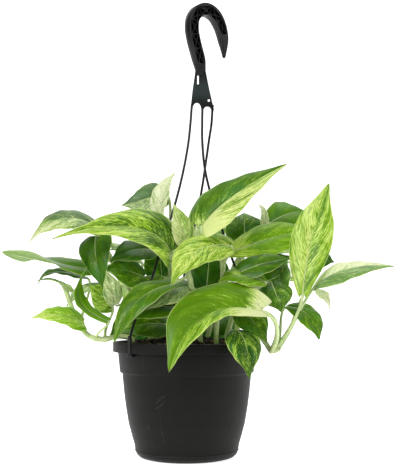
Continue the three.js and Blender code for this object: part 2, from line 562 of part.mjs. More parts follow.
add("pot", pot(), "pot");
add("hanger", hanger(), "hanger");
add("potting_mix", pottingMix(), "potting_mix");
for (const name of Object.keys(STEMS)) add(`stem_${name}`, leafyStem(name), "leaves");

export default group;
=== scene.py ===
"""A marble queen pothos in its black hanging pot: the looks that go over the CAD part.

Lengths in the tables are millimetres, +Z up, the origin in the middle of the pot's foot. Pieces are
made in metres, with their place in the mesh.
"""

import math

import bmesh
import bpy
import numpy as np
from mathutils import Matrix


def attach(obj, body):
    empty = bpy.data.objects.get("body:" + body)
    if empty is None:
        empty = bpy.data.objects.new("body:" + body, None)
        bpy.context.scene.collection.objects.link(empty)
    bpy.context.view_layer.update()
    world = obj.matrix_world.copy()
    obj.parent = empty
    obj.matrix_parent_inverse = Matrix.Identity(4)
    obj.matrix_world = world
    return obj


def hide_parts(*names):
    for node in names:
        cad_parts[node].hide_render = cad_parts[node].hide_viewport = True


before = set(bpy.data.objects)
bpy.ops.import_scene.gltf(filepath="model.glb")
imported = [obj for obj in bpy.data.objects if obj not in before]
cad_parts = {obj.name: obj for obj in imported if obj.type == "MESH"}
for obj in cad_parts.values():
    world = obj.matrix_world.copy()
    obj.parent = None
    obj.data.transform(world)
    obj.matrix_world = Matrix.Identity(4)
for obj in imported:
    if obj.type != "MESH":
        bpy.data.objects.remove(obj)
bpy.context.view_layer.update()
MM = 0.001

# The camera stands a little above the rim, about a metre in front, and looks up a few degrees.
# Its height, distance and length of lens come from the ellipse of the rim, the foot and the hook.
PHOTO_WIDTH_PX = 402
PHOTO_HEIGHT_PX = 467
FOCAL_PX = 977
CAMERA_MM = (14.7, -1026, 162)
CAMERA_UP_DEG = 3.9
SENSOR_MM = 36
NEAREST_SEEN_M = 0.05


def shown(name, data):
    """A new object of the scene with a camera, light, curve or mesh as its data."""
    made = bpy.data.objects.new(name, data)
    bpy.context.scene.collection.objects.link(made)
    return made


lens = bpy.data.cameras.new("camera")
lens.sensor_width = SENSOR_MM
lens.lens = SENSOR_MM * FOCAL_PX / max(PHOTO_WIDTH_PX, PHOTO_HEIGHT_PX)
lens.clip_start = NEAREST_SEEN_M
camera = shown("camera", lens)
camera.location = [c * MM for c in CAMERA_MM]
camera.rotation_euler = (math.radians(90 + CAMERA_UP_DEG), 0, 0)
bpy.context.scene.camera = camera
bpy.context.scene.view_settings.view_transform = "Standard"

# The light is that of a bright product picture: white all round, a soft light at the upper left in
# front, a weak one on the right and one above, a little behind the plant.
WORLD_STRENGTH = 0.22
PLANT_MIDDLE = (0, 0, 0.2)

world = bpy.data.worlds.new("studio")
world.use_nodes = True
sky = world.node_tree.nodes["Background"].inputs
sky["Color"].default_value = (1, 1, 1, 1)
sky["Strength"].default_value = WORLD_STRENGTH
bpy.context.scene.world = world


def soft_light(name, place, size, watts):
    """A square area light of a given side in metres, at a place, pointed at the plant."""
    light = bpy.data.lights.new(name, "AREA")
    light.size = size
    light.energy = watts
    lamp = shown(name, light)
    lamp.location = place
    way = np.array(PLANT_MIDDLE) - np.array(place)
    flat = math.hypot(way[0], way[1])
    lamp.rotation_euler = (math.pi / 2 + math.atan2(way[2], flat), 0, math.atan2(-way[0], way[1]))


soft_light("light_top_left", (-0.8, -1.4, 1.2), 1.0, 24)
soft_light("light_right", (1.5, -0.6, 0.7), 1.0, 5)
soft_light("light_over", (0.2, 0.3, 1.7), 1.2, 10)

# The floor is a pale sheet that sweeps up behind the plant without an edge. It glows from the plant
# backwards, so that the ground of the picture is one even white.
FLOOR_HALF_WIDTH_M = 6
FLOOR_FRONT_M = -5
SWEEP_START_M = 2.6
SWEEP_RADIUS_M = 1.6
SWEEP_STEPS = 24
WALL_TOP_M = 5
GLOW_START_M = -0.4
GLOW_FULL_M = 0.0
SAME_PLACE_M = 1e-7


class Val:
    """A socket's value. Arithmetic on it adds Math nodes, or Vector Math nodes on a vector."""

    def __init__(self, tree, socket):
        self.tree = tree
        self.socket = socket

    def node(self, kind, settings=None, values=None, out=0):
        """Any node: its settings first, then each socket, by name or number, linked or set."""
        made = self.tree.nodes.new(kind)
        for name, value in (settings or {}).items():
            setattr(made, name, value)
        for key, value in (values or {}).items():
            if isinstance(value, Val):
                self.tree.links.new(value.socket, made.inputs[key])
            else:
                made.inputs[key].default_value = value
        return Val(self.tree, made.outputs[out])

    def maths(self, operation, *sides):
        """The node of an operation on one, two or three values, a vector one if this is a vector."""
        if self.socket.type == "VECTOR":
            sides = [s if isinstance(s, (Val, tuple)) else (s, s, s) for s in sides]
            return self.node("ShaderNodeVectorMath", {"operation": operation}, dict(enumerate(sides)))
        return self.node("ShaderNodeMath", {"operation": operation}, dict(enumerate(sides)))

    def __add__(self, other):
        return self.maths("ADD", self, other)

    __radd__ = __add__

    def __sub__(self, other):
        return self.maths("SUBTRACT", self, other)

    def __rsub__(self, other):
        return self.maths("SUBTRACT", other, self)

    def __mul__(self, other):
        return self.maths("MULTIPLY", self, other)

    __rmul__ = __mul__

    def __abs__(self):
        return self.maths("ABSOLUTE", self)

    def __pow__(self, other):
        return self.maths("POWER", self, other)

    def larger(self, other):
        return self.maths("MAXIMUM", self, other)

    def step(self, low, high):
        """Rises smoothly from 0 where the value is low to 1 where it is high."""
        values = {"Value": self, "From Min": low, "From Max": high}
        return self.node("ShaderNodeMapRange", {"interpolation_type": "SMOOTHSTEP"}, values)

    def between(self, low, high):
        """A colour: low where the value is 0, high where it is 1."""
        return self.node("ShaderNodeMix", {"data_type": "RGBA"}, {0: self, 6: low, 7: high}, out=2)

    def parts(self):
        """The three numbers of a vector."""
        split = self.node("ShaderNodeSeparateXYZ", None, {0: self})
        return [Val(self.tree, s) for s in split.socket.node.outputs]

    def noise(self, scale, detail=2.0, roughness=0.5):
        """Cloudy noise, about 0.5 in the middle, at this place."""
        values = {"Vector": self, "Scale": scale, "Detail": detail, "Roughness": roughness}
        return self.node("ShaderNodeTexNoise", None, values)


def together(x, y, z):
    """A vector of three numbers, the first of which is a value."""
    return x.node("ShaderNodeCombineXYZ", None, {0: x, 1: y, 2: z})


def rgb(red, green, blue):
    """A colour as a screen shows it, 0 to 255, in the linear light that shaders use."""
    return tuple(((c / 255 + 0.055) / 1.055) ** 2.4 for c in (red, green, blue)) + (1.0,)


class Finish:
    """A material: place is the piece's own coordinates, and feed links a value to the surface."""

    def __init__(self, name, **constants):
        self.material = bpy.data.materials.new(name)
        self.material.use_nodes = True
        self.tree = self.material.node_tree
        self.surface = self.tree.nodes["Principled BSDF"]
        for socket, value in constants.items():
            self.surface.inputs[socket.replace("_", " ")].default_value = value
        coordinates = self.tree.nodes.new("ShaderNodeTexCoord")
        self.place = Val(self.tree, coordinates.outputs["Object"])

    def attribute(self, name, out="Vector"):
        """A value that the piece's mesh carries at each point."""
        return self.place.node("ShaderNodeAttribute", {"attribute_name": name}, None, out)

    def feed(self, socket, value):
        self.tree.links.new(value.socket, self.surface.inputs[socket])

    def relief(self, height, depth_mm, strength=1.0):
        """Bumps of a given depth where height goes from 0 to 1."""
        values = {"Height": height, "Strength": strength, "Distance": depth_mm * MM}
        self.feed("Normal", height.node("ShaderNodeBump", None, values))


def grid_faces(rows, columns, first=0, wrap=False):
    """Four-cornered faces of a grid of points, counted from first. Wrapped, its last column meets its
    first."""
    i, j = np.meshgrid(np.arange(rows - 1), np.arange(columns - (not wrap)), indexing="ij")
    k = (j + 1) % columns
    corners = [i * columns + j, i * columns + k, (i + 1) * columns + k, (i + 1) * columns + j]
    return first + np.stack(corners, -1).reshape(-1, 4)


def mesh_object(name, points, faces, material, sharp_deg=None, carried=None):
    """An object at the origin from points in metres and faces, smooth but for edges sharper than an
    angle. It carries numbers or vectors at each point for its material to read. Points that share a
    place become one, and closed shapes get their faces turned outwards."""
    mesh = bpy.data.meshes.new(name)
    mesh.from_pydata(np.reshape(points, (-1, 3)).tolist(), [], np.asarray(faces).tolist())
    mesh.materials.append(material)
    made = shown(name, mesh)
    for key, values in (carried or {}).items():
        kind, field = ("FLOAT", "value") if np.ndim(values) == 1 else ("FLOAT_VECTOR", "vector")
        at_points = mesh.attributes.new(key, kind, "POINT")
        at_points.data.foreach_set(field, np.asarray(values, np.float32).ravel())
    cleaned = bmesh.new()
    cleaned.from_mesh(mesh)
    bmesh.ops.remove_doubles(cleaned, verts=cleaned.verts, dist=SAME_PLACE_M)
    bmesh.ops.recalc_face_normals(cleaned, faces=cleaned.faces)
    cleaned.to_mesh(mesh)
    cleaned.free()
    mesh.shade_smooth()
    if sharp_deg:
        mesh.set_sharp_from_angle(angle=math.radians(sharp_deg))
    return made


turn = np.linspace(0, math.pi / 2, SWEEP_STEPS)
sweep_line = np.concatenate([
    [(FLOOR_FRONT_M, 0)],
    np.stack([SWEEP_START_M + SWEEP_RADIUS_M * np.sin(turn), SWEEP_RADIUS_M * (1 - np.cos(turn))], -1),
    [(SWEEP_START_M + SWEEP_RADIUS_M, WALL_TOP_M)],
])
paper = Finish("backdrop_paper", Roughness=0.9, Emission_Strength=0.85)
paper.feed("Base Color", paper.place.noise(1.5).between(rgb(244, 244, 244), rgb(250, 250, 250)))
glow = paper.place.parts()[1].step(GLOW_START_M, GLOW_FULL_M)
paper.feed("Emission Color", glow.between((0, 0, 0, 1), (1, 1, 1, 1)))
sheet = [[(x, y, z) for x in (-FLOOR_HALF_WIDTH_M, FLOOR_HALF_WIDTH_M)] for y, z in sweep_line]
sweep = mesh_object("backdrop", sheet, grid_faces(len(sheet), 2), paper.material)

# The pot: a thin black plastic shell, moulded in one piece, with a rounded foot, a step, a plain band
# and a flange turned down at its edge. Its skin is matt, with a fine grain, light rubs and a scuff.
FLANGE_RADIUS = 77
FLANGE_TOP = 118.9
FLANGE_HEIGHT = 10
FLANGE_WALL = 1.8
BAND_RADIUS = 71.6
BAND_FOOT = 87.8
FOOT_RADIUS = 43.6
WALL = 1.6
GAP = 0.35
POT_OUTSIDE = [
    (FOOT_RADIUS, 0), (48.6, 1.4), (51.8, 4.2), (53.3, 7.6), (53.8, 8), (53.4, 8.6), (54.2, 14),
    (57, 23.3), (60.4, 35.9), (63.1, 51.6), (65.2, 67.4), (66.9, 85), (67.1, 87.2),
    (69.6, BAND_FOOT), (BAND_RADIUS, 107.5),
]
POT_INSIDE = [
    (FOOT_RADIUS - 1.5, WALL), (50, 5.6), (52.4, 14), (58.7, 35.9), (63.5, 67.4), (65.3, 86),
    (67.8, BAND_FOOT + 1.4), (BAND_RADIUS - WALL, 107.5),
]
DRAIN_HOLES = 6
DRAIN_RADIUS = 4
DRAIN_REACH = 28
DRAIN_SIDES = 32
CLIP_ANGLES = (223, 343, 103)
NOTCH_HALF_WIDTH = 2.9
NOTCH_DEPTH = 2.5
NOTCH_EDGE_TURN = 1e-3
POT_SIDES = 168
ROUNDING = 0.7
SCUFF_MIDDLE = (-25, 62)
SCUFF_RADIUS = 4
SCUFF_LEAN = 0.9
SCUFF_STRETCH = (0.9, 1.3)

pot_profile = [
    (0, 0), *POT_OUTSIDE,
    (BAND_RADIUS, FLANGE_TOP - FLANGE_WALL),
    (FLANGE_RADIUS - FLANGE_WALL, FLANGE_TOP - FLANGE_WALL),
    (FLANGE_RADIUS - FLANGE_WALL, FLANGE_TOP - FLANGE_HEIGHT),
    (FLANGE_RADIUS, FLANGE_TOP - FLANGE_HEIGHT),
    (FLANGE_RADIUS, FLANGE_TOP),
    (BAND_RADIUS - WALL, FLANGE_TOP),
    *POT_INSIDE[::-1],
    (0, WALL),
]


def rounded(line, radius):
    """A line whose corners are cut off and bridged by arcs: a cut starts at most the radius, or a third
    of the side, from the corner."""
    p = np.array(line, float)
    before, after = p[:-2] - p[1:-1], p[2:] - p[1:-1]
    lengths = [np.linalg.norm(s, axis=1, keepdims=True) for s in (before, after)]
    reach = np.minimum(radius, np.minimum(*lengths) / 3)
    a = p[1:-1] + before / lengths[0] * reach
    b = p[1:-1] + after / lengths[1] * reach
    t = np.array([0, 0.33, 0.67, 1])[None, :, None]
    arcs = a[:, None] * (1 - t) ** 2 + 2 * t * (1 - t) * p[1:-1, None] + b[:, None] * t**2
    return np.concatenate([p[:1], arcs.reshape(-1, p.shape[1]), p[-1:]])


def turned(profile, angles):
    """Points (r cos a, r sin a, z) of a profile of radius and height at each angle, a row for each of
    its points."""
    r, z = profile[:, 0:1], profile[:, 1:2]
    return np.stack([r * np.cos(angles), r * np.sin(angles), z + 0 * angles], -1)


def round_circle(count):
    """Angles that share a circle out in equal steps."""
    return np.linspace(0, 2 * math.pi, count, endpoint=False)


def gathered(parts):
    """Points and faces of several shapes as one."""
    counts = np.cumsum([0] + [len(p) for p, _ in parts])
    faces = [f + n for (_, f), n in zip(parts, counts)]
    return np.concatenate([p for p, _ in parts]), np.concatenate(faces)


def finished_mesh(piece):
    """A mesh of what an object looks like with its modifiers or bevels done."""
    return bpy.data.meshes.new_from_object(piece.evaluated_get(bpy.context.evaluated_depsgraph_get()))


def cut_away(body, cutter):
    """Takes one object's shape out of another and removes it."""
    boolean = body.modifiers.new("cut", "BOOLEAN")
    boolean.operation = "DIFFERENCE"
    boolean.solver = "EXACT"
    boolean.object = cutter
    cut = finished_mesh(body)
    body.modifiers.remove(boolean)
    body.data = cut
    bpy.data.objects.remove(cutter)


black_plastic = Finish("pot_black_plastic", Specular_IOR_Level=0.16)
cloud = black_plastic.place.noise(16, 3)
grain = black_plastic.place.noise(1400, 2)
rubs = (black_plastic.place * (150.0, 150.0, 18.0)).noise(1, 4).step(0.64, 0.74)
moulded = cloud.between(rgb(13, 13, 11), rgb(20, 20, 18))
pot_x, pot_y, pot_z = (black_plastic.place * (1 / MM)).parts()
beside, above = pot_x - SCUFF_MIDDLE[0], pot_z - SCUFF_MIDDLE[1]
scuff_x, scuff_z = beside * SCUFF_STRETCH[0], (above - SCUFF_LEAN * beside) * SCUFF_STRETCH[1]
scuff_r = (scuff_x * scuff_x + scuff_z * scuff_z) ** 0.5
scuff = 1 - abs(scuff_r - SCUFF_RADIUS - 1.6 * cloud).step(0.2, 1.0)
scuff = scuff * (1 - pot_y.step(-40, -30)) * grain.step(0.3, 0.6) * abs(scuff_z).step(2.2, 3.4)
worn = (rubs * 0.25).between(moulded, rgb(66, 66, 64))
black_plastic.feed("Base Color", (scuff * 0.3).between(worn, rgb(96, 96, 94)))
black_plastic.feed("Roughness", 0.46 + 0.16 * cloud)
black_plastic.relief(grain, 0.12, 0.5)

notch_half_angle = NOTCH_HALF_WIDTH / FLANGE_RADIUS
notches = np.radians(CLIP_ANGLES)
notch_edges = [
    n + way * (notch_half_angle + slip)
    for n in notches[:, None] for way in (-1, 1) for slip in (0, NOTCH_EDGE_TURN)
]
pot_angles = np.sort(np.concatenate([round_circle(POT_SIDES), *notch_edges]))
away = np.abs((pot_angles[:, None] - notches + math.pi) % (2 * math.pi) - math.pi).min(1)
in_notch = away < notch_half_angle + NOTCH_EDGE_TURN / 2
pot_line = rounded(pot_profile, ROUNDING)
cut_line = pot_line.copy()
outside = cut_line[:, 0] > FLANGE_RADIUS - NOTCH_DEPTH
cut_line[outside, 0] = FLANGE_RADIUS - NOTCH_DEPTH
cut_line[outside, 1] = np.maximum(cut_line[outside, 1], FLANGE_TOP - FLANGE_WALL)
pot_points = np.where(in_notch[None, :, None], turned(cut_line, pot_angles), turned(pot_line, pot_angles))
pot_faces = grid_faces(len(pot_line), len(pot_angles), wrap=True)
pot = mesh_object("pot_shell", pot_points * MM, pot_faces, black_plastic.material, 40)
drain_line = np.array([(0, -WALL), (DRAIN_RADIUS, -WALL), (DRAIN_RADIUS, 2 * WALL), (0, 2 * WALL)])
drill_ring = turned(drain_line, round_circle(DRAIN_SIDES)).reshape(-1, 3)
drill_angles = round_circle(DRAIN_HOLES)
drill_places = DRAIN_REACH * np.stack([np.cos(drill_angles), np.sin(drill_angles), 0 * drill_angles], -1)
drill_faces = grid_faces(len(drain_line), DRAIN_SIDES, wrap=True)
drill_points, drill_faces = gathered([(drill_ring + place, drill_faces) for place in drill_places])
drills = mesh_object("drills", drill_points * MM, drill_faces, black_plastic.material)
cut_away(pot, drills)
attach(pot, "root")
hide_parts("pot")

# The hanger: one stiff black moulding. A hook of I-shaped section with crossed ribs stands on a flat
# plate, and three thin arms run from the plate to the rim, where small feet clip under the flange.
HOOK_LINE = [
    (-1.2, 401), (-4.3, 417), (-7.8, 428), (-11, 439), (-12.8, 450), (-11.4, 461), (-5.2, 469),
    (4.8, 472.2), (15, 468), (21.9, 458.5), (25.8, 447.5), (27.4, 437), (28.2, 423),
]
HOOK_HALF_WIDTHS = [5, 5.5, 5.7, 5.8, 5.9, 6, 6.4, 6.6, 6.3, 5.6, 4.6, 3.2, 0.8]
HOOK_TURN_DEG = 32
HOOK_DEPTH = 10
HOOK_MIDDLE_X = 15.8
HOOK_SKIN = 1.3
HOOK_WEB = 2.2
HOOK_STEPS = 18
HOOK_SOLID_TIP = 4
HOOK_RIB_SHARE = 0.16
HOOK_END_DEPTH = 0.3
HOOK_FOOT_RUN = 15
HOOK_TIP_RUN = 18
HOOK_TIP_SIDE = 10
HOOK_POINTS = 90
LEAST_HALF_WIDTH = 0.5
PLATE_TOP = 405
PLATE_FOOT = 363
PLATE_THICKNESS = 3
# Heights between which a painted sheen, a grey-green reflection, lies across the plate.
PLATE_PAINTED_SHEEN_FROM = (366, 384)
PLATE_PAINTED_SHEEN_TO = (386, 404)
PLATE_SLIT = [(10.65, 390.75), (12.35, 390.75), (12.35, 400.25), (10.65, 400.25)]
PLATE_HOLE = [(21.9, 372.2), (24.1, 372.2), (24.1, 374.8), (21.9, 374.8)]
ARM_LINES = [
    [(5, 0, 369), (3.4, -3, 347), (1.2, -6, 326), (-5, -12, 291), (-14.8, -19, 252), (-26, -28, 216),
     (-35, -35.5, 184), (-52, -48.6, 139)],
    [(16.3, 0, 369), (15.9, -1.5, 347), (16, -3, 330), (18.3, -5, 303), (23, -7, 280), (36, -11, 237),
     (52, -16.2, 190), (68.4, -20.9, 141)],
    [(27.2, 0, 369), (25.6, 4, 347), (23.8, 8, 336), (20, 15, 310), (15.2, 22, 279), (5.5, 37, 233),
     (-5, 54, 184), (-14.6, 69.6, 141)],
]
ARM_WIDTH = 2.6
ARM_STEPS = 80
ARM_SIDES = 14
ARM_EDGE_ROUNDING = 0.35
STRIP_WIDTH = 4
STRIP_THICKNESS = 2.2
CLIP_FOOT = (5.2, 8, 2.6)
EDGE_ROUNDING = 0.25
SMALL_STEP = 1e-3


def unit(v):
    """Vectors of length 1 along v."""
    return v / (np.linalg.norm(v, axis=-1, keepdims=True) + 1e-12)


def smooth_curve(points, t):
    """Places on a centripetal Catmull-Rom curve through points: t runs from 0 to 1, with an equal share
    for each span."""
    p = np.array(points, float)
    p = np.concatenate([2 * p[:1] - p[1:2], p, 2 * p[-1:] - p[-2:-1]])
    spans = len(points) - 1
    at = np.clip(np.atleast_1d(t), 0, 1) * spans
    i = np.minimum(at.astype(int), spans - 1)
    w = (at - i)[:, None]
    a, b, c, d = p[i], p[i + 1], p[i + 2], p[i + 3]
    e, f, g = (np.linalg.norm(k, axis=1, keepdims=True) ** 0.5 for k in (b - a, c - b, d - c))
    start = f * ((b - a) / e - (c - a) / (e + f) + (c - b) / f)
    end = f * ((c - b) / f - (d - b) / (f + g) + (d - c) / g)
    return b + w * start + w**2 * (3 * c - 3 * b - 2 * start - end) + w**3 * (2 * b - 2 * c + start + end)


def hook_side(share, inset, t):
    """The hook's middle line moved sideways by share of its half width less inset."""
    line = smooth_curve(HOOK_LINE, t)
    way = unit(smooth_curve(HOOK_LINE, t + SMALL_STEP) - smooth_curve(HOOK_LINE, t - SMALL_STEP))
    half = smooth_curve(list(enumerate(HOOK_HALF_WIDTHS)), t)[:, 1]
    off = share * np.maximum(half - inset, LEAST_HALF_WIDTH)
    return line + np.stack([-way[:, 1], way[:, 0]], -1) * off[:, None]


def add_flat_moulding(whole, outlines, depth, turn_deg=0, x=0, ends=False):
    """Adds closed outlines in mm, one inside another where there is a hole, as a plate of a depth that
    stands upright, turned about Z and moved to x. Its depth thins to the hook's ends if asked."""
    curve = bpy.data.curves.new("outline", "CURVE")
    curve.dimensions = "2D"
    curve.fill_mode = "BOTH"
    curve.extrude = (depth / 2 - EDGE_ROUNDING) * MM
    curve.bevel_depth = EDGE_ROUNDING * MM
    curve.bevel_resolution = 1
    curve.offset = -EDGE_ROUNDING * MM
    for outline in outlines:
        spline = curve.splines.new("POLY")
        spline.points.add(len(outline) - 1)
        flat = np.array([(s * MM, z * MM, 0, 1) for s, z in outline])
        spline.points.foreach_set("co", flat.ravel())
        spline.use_cyclic_u = True
    flat_object = shown("outline", curve)
    mesh = finished_mesh(flat_object)
    corners = np.empty(3 * len(mesh.vertices))
    mesh.vertices.foreach_get("co", corners)
    corners = corners.reshape(-1, 3)
    if ends:
        from_foot = (corners[:, 1] / MM - HOOK_LINE[0][1]) / HOOK_FOOT_RUN
        from_tip = (corners[:, 1] / MM - HOOK_LINE[-1][1]) / HOOK_TIP_RUN
        from_tip[corners[:, 0] < HOOK_TIP_SIDE * MM] = 1
        share = np.clip(np.minimum(from_foot, from_tip), 0, 1)
        corners[:, 2] *= HOOK_END_DEPTH + (1 - HOOK_END_DEPTH) * share
    mesh.vertices.foreach_set("co", corners.ravel())
    placed = Matrix.Translation((x * MM, 0, 0)) @ Matrix.Rotation(math.radians(turn_deg), 4, "Z")
    mesh.transform(placed @ Matrix.Rotation(math.pi / 2, 4, "X"))
    whole.from_mesh(mesh)
    bpy.data.meshes.remove(mesh)
    bpy.data.objects.remove(flat_object)


def arc(middle, across, up, points=13):
    """Points of the upper half of an ellipse round a middle."""
    a = np.linspace(0, math.pi, points)
    return list(zip(middle[0] + across * np.cos(a), middle[1] + up * np.sin(a)))


def tube(path, radii, sides):
    """Points path + radius (n cos a + b sin a) and their faces: n and b are square to the path and
    carried along it without twist. Its ends are drawn together to a point."""
    path = np.asarray(path, float)
    way = unit(np.gradient(path, axis=0))
    aside = (0.31, 0.22, 0.92) if abs(way[0][2]) < 0.9 else (1.0, 0.2, 0.1)
    normal = [unit(np.cross(way[0], aside))]
    for w in way[1:]:
        normal.append(unit(normal[-1] - (normal[-1] @ w) * w))
    normal = np.array(normal)
    path, way, normal = (np.concatenate([k[:1], k, k[-1:]]) for k in (path, way, normal))
    radii = np.concatenate([[0], np.broadcast_to(radii, len(path) - 2), [0]])
    a = round_circle(sides)[None, :, None]
    round_way = normal[:, None] * np.cos(a) + np.cross(way, normal)[:, None] * np.sin(a)
    points = path[:, None] + radii[:, None, None] * round_way
    return points.reshape(-1, 3), grid_faces(len(path), sides, wrap=True)


def block(size, middle, turn_deg):
    """The corners and faces of a box of a size, turned about Z, its middle at a place."""
    square = [(-0.5, -0.5), (0.5, -0.5), (0.5, 0.5), (-0.5, 0.5)]
    corner = np.array([(x, y, z) for z in (-0.5, 0.5) for x, y in square])
    c, s = math.cos(math.radians(turn_deg)), math.sin(math.radians(turn_deg))
    corner = corner * size @ np.array([[c, s, 0], [-s, c, 0], [0, 0, 1]]) + middle
    faces = [(0, 3, 2, 1), (4, 5, 6, 7), (0, 1, 5, 4), (1, 2, 6, 5), (2, 3, 7, 6), (3, 0, 4, 7)]
    return corner, np.array(faces)


hanger_plastic = Finish("hanger_black_plastic", Specular_IOR_Level=0.3)
flow = (hanger_plastic.place * (60.0, 60.0, 12.0)).noise(1, 3)
height = hanger_plastic.place.parts()[2] * (1 / MM)
# Painted sheen: the plate's band of height, with the tops of the arms in it, is mixed towards grey-green, a
# reflection painted into the colour.
painted_plate_sheen = height.step(*PLATE_PAINTED_SHEEN_FROM) * (1 - height.step(*PLATE_PAINTED_SHEEN_TO))
moulded = flow.between(rgb(5, 5, 5), rgb(14, 14, 15))
hanger_plastic.feed("Base Color", (painted_plate_sheen * 0.8).between(moulded, rgb(46, 56, 55)))
hanger_plastic.feed("Roughness", 0.24 + 0.14 * flow)
hanger_plastic.relief(hanger_plastic.place.noise(900, 2), 0.08, 0.4)

hook_t = np.linspace(0, 1, HOOK_POINTS)
hook_outline = [*hook_side(1, 0, hook_t), *hook_side(-1, 0, hook_t)[::-1]]
pocket_t = np.linspace(0, 1, HOOK_STEPS + 1)
pocket_left, pocket_right = hook_side(1, HOOK_SKIN, pocket_t), hook_side(-1, HOOK_SKIN, pocket_t)
pockets = []
for i in range(1, HOOK_STEPS - HOOK_SOLID_TIP, 2):
    a, b, c, d = pocket_left[i], pocket_right[i], pocket_right[i + 2], pocket_left[i + 2]
    m = (a + b + c + d) / 4
    cells = [np.array(cell) for cell in ((a, b, m), (b, c, m), (c, d, m), (d, a, m))]
    pockets += [cell + HOOK_RIB_SHARE * (cell.mean(0) - cell) for cell in cells]
plate_outline = [
    (8.6, PLATE_TOP), (19.8, PLATE_TOP), (23.3, 387), (28.6, PLATE_FOOT), (25.4, PLATE_FOOT),
    *arc((21.4, PLATE_FOOT), 4, 4), (15, PLATE_FOOT), *arc((10.3, PLATE_FOOT), 4.7, 8), (3.4, PLATE_FOOT),
    (5.6, 384),
]
reach = FLANGE_RADIUS - STRIP_THICKNESS / 4
foot_reach = reach - (CLIP_FOOT[0] - STRIP_THICKNESS) / 2
low = FLANGE_TOP - FLANGE_HEIGHT - GAP - CLIP_FOOT[2]
high = FLANGE_TOP + 2 * ARM_WIDTH
strip = (STRIP_THICKNESS, STRIP_WIDTH, high + ARM_WIDTH - low)
arm_parts = []
for line, angle in zip(ARM_LINES, CLIP_ANGLES):
    out = np.array([math.cos(math.radians(angle)), math.sin(math.radians(angle)), 0])
    arm_path = smooth_curve([*line, out * reach + (0, 0, high)], np.linspace(0, 1, ARM_STEPS))
    arm_parts.append(tube(arm_path, ARM_WIDTH / 2, ARM_SIDES))
    arm_parts.append(block(strip, out * reach + (0, 0, low + strip[2] / 2), angle))
    arm_parts.append(block(CLIP_FOOT, out * foot_reach + (0, 0, low + CLIP_FOOT[2] / 2), angle))
arms_points, arms_faces = gathered(arm_parts)
arms = mesh_object("hanger_arms", arms_points * MM, arms_faces, hanger_plastic.material, 40)
soften = arms.modifiers.new("edges", "BEVEL")
soften.width = ARM_EDGE_ROUNDING * MM
soften.segments = 2
soften.limit_method = "ANGLE"
whole = bmesh.new()
add_flat_moulding(whole, [hook_outline, *pockets], HOOK_DEPTH, HOOK_TURN_DEG, HOOK_MIDDLE_X, True)
add_flat_moulding(whole, [hook_outline], HOOK_WEB, HOOK_TURN_DEG, HOOK_MIDDLE_X, True)
add_flat_moulding(whole, [plate_outline, PLATE_SLIT, PLATE_HOLE], PLATE_THICKNESS)
hook_mesh = bpy.data.meshes.new("hanger_hook")
whole.to_mesh(hook_mesh)
whole.free()
hook_mesh.materials.append(hanger_plastic.material)
hook_mesh.shade_smooth()
hook_mesh.set_sharp_from_angle(angle=math.radians(35))
hook = shown("hanger_hook", hook_mesh)
for piece in (hook, arms):
    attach(piece, "root")
    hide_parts("hanger")

# The potting mix: damp dark peat with bark, heaped a little in the middle and crumbly on top. Loose
# crumbs lie on it, and it holds the foot of every stem.
SOIL_EDGE = 115.6
SOIL_RISE = 7.5
SOIL_MIDDLE_REACH = 40
SOIL_MIDDLE_SHARE = 0.7
SOIL_RIM = BAND_RADIUS - WALL - GAP
SOIL_SETTLED = 0.8
SOIL_RINGS = 90
SOIL_SIDES = 240
FLAT_RIM = 6
LUMP_HEIGHT = 1.6
LUMP_WAVES = 40
LUMP_FREQUENCIES = (0.05, 0.9)
LUMP_FADE = 0.12
LUMP_SUM = 3
CRUMBS = 900
CRUMB_SIZE = (0.8, 2.6)
CRUMB_SQUASH = (0.35, 1)
CRUMB_ROUGHNESS = (0.75, 1.2)
CRUMB_WALL_GAP = 2
CRUMB_LIFT = 0.4
CRUMB_SEED = 11

rng = np.random.default_rng(CRUMB_SEED)
lump_waves = rng.normal(0, 1, (LUMP_WAVES, 2)) * np.linspace(*LUMP_FREQUENCIES, LUMP_WAVES)[:, None]
lump_phases = rng.uniform(0, 2 * math.pi, LUMP_WAVES)


def soil_height(x, y):
    """The settled heap's profile, plus a sum of sine waves of rising frequency, flat at the wall."""
    r = np.hypot(x, y)
    heap = SOIL_EDGE + SOIL_RISE * np.interp(r, [0, SOIL_MIDDLE_REACH, SOIL_RIM], [1, SOIL_MIDDLE_SHARE, 0])
    ways = np.multiply.outer(x, lump_waves[:, 0]) + np.multiply.outer(y, lump_waves[:, 1])
    waves = np.sin(ways + lump_phases)
    lumps = (waves / (1 + np.arange(LUMP_WAVES) * LUMP_FADE)).sum(-1) / LUMP_SUM
    return heap + LUMP_HEIGHT * lumps * np.clip((SOIL_RIM - r) / FLAT_RIM, 0, 1) - SOIL_SETTLED


peat = Finish("potting_peat", Roughness=0.95, Specular_IOR_Level=0.25)
shade = peat.attribute("shade", "Fac")
damp = peat.place.noise(130, 4)
specks = peat.place.noise(900, 2).step(0.6, 0.7)
dark_peat = damp.step(0.35, 0.65).between(rgb(12, 10, 8), rgb(34, 28, 21))
bark = (shade * shade).between(rgb(16, 13, 10), rgb(132, 112, 84))
crumb_colour = shade.step(0.02, 0.1).between(dark_peat, bark)
peat.feed("Base Color", (specks * 0.3).between(crumb_colour, rgb(104, 90, 70)))
peat.relief(peat.place.noise(420, 4), 1.2)

soil_top, soil_side = np.linspace(0, SOIL_RIM, SOIL_RINGS), [p[0] - GAP for p in POT_INSIDE[::-1]]
soil_r = np.concatenate([soil_top, soil_side, [0]])
soil_a = round_circle(SOIL_SIDES)
soil_x, soil_y = soil_r[:, None] * np.cos(soil_a), soil_r[:, None] * np.sin(soil_a)
soil_z = soil_height(soil_x, soil_y)
soil_z[SOIL_RINGS:-1] = np.array([p[1] + GAP for p in POT_INSIDE[::-1]])[:, None]
soil_z[-1] = WALL + GAP
soil_points = np.stack([soil_x, soil_y, soil_z], -1) * MM

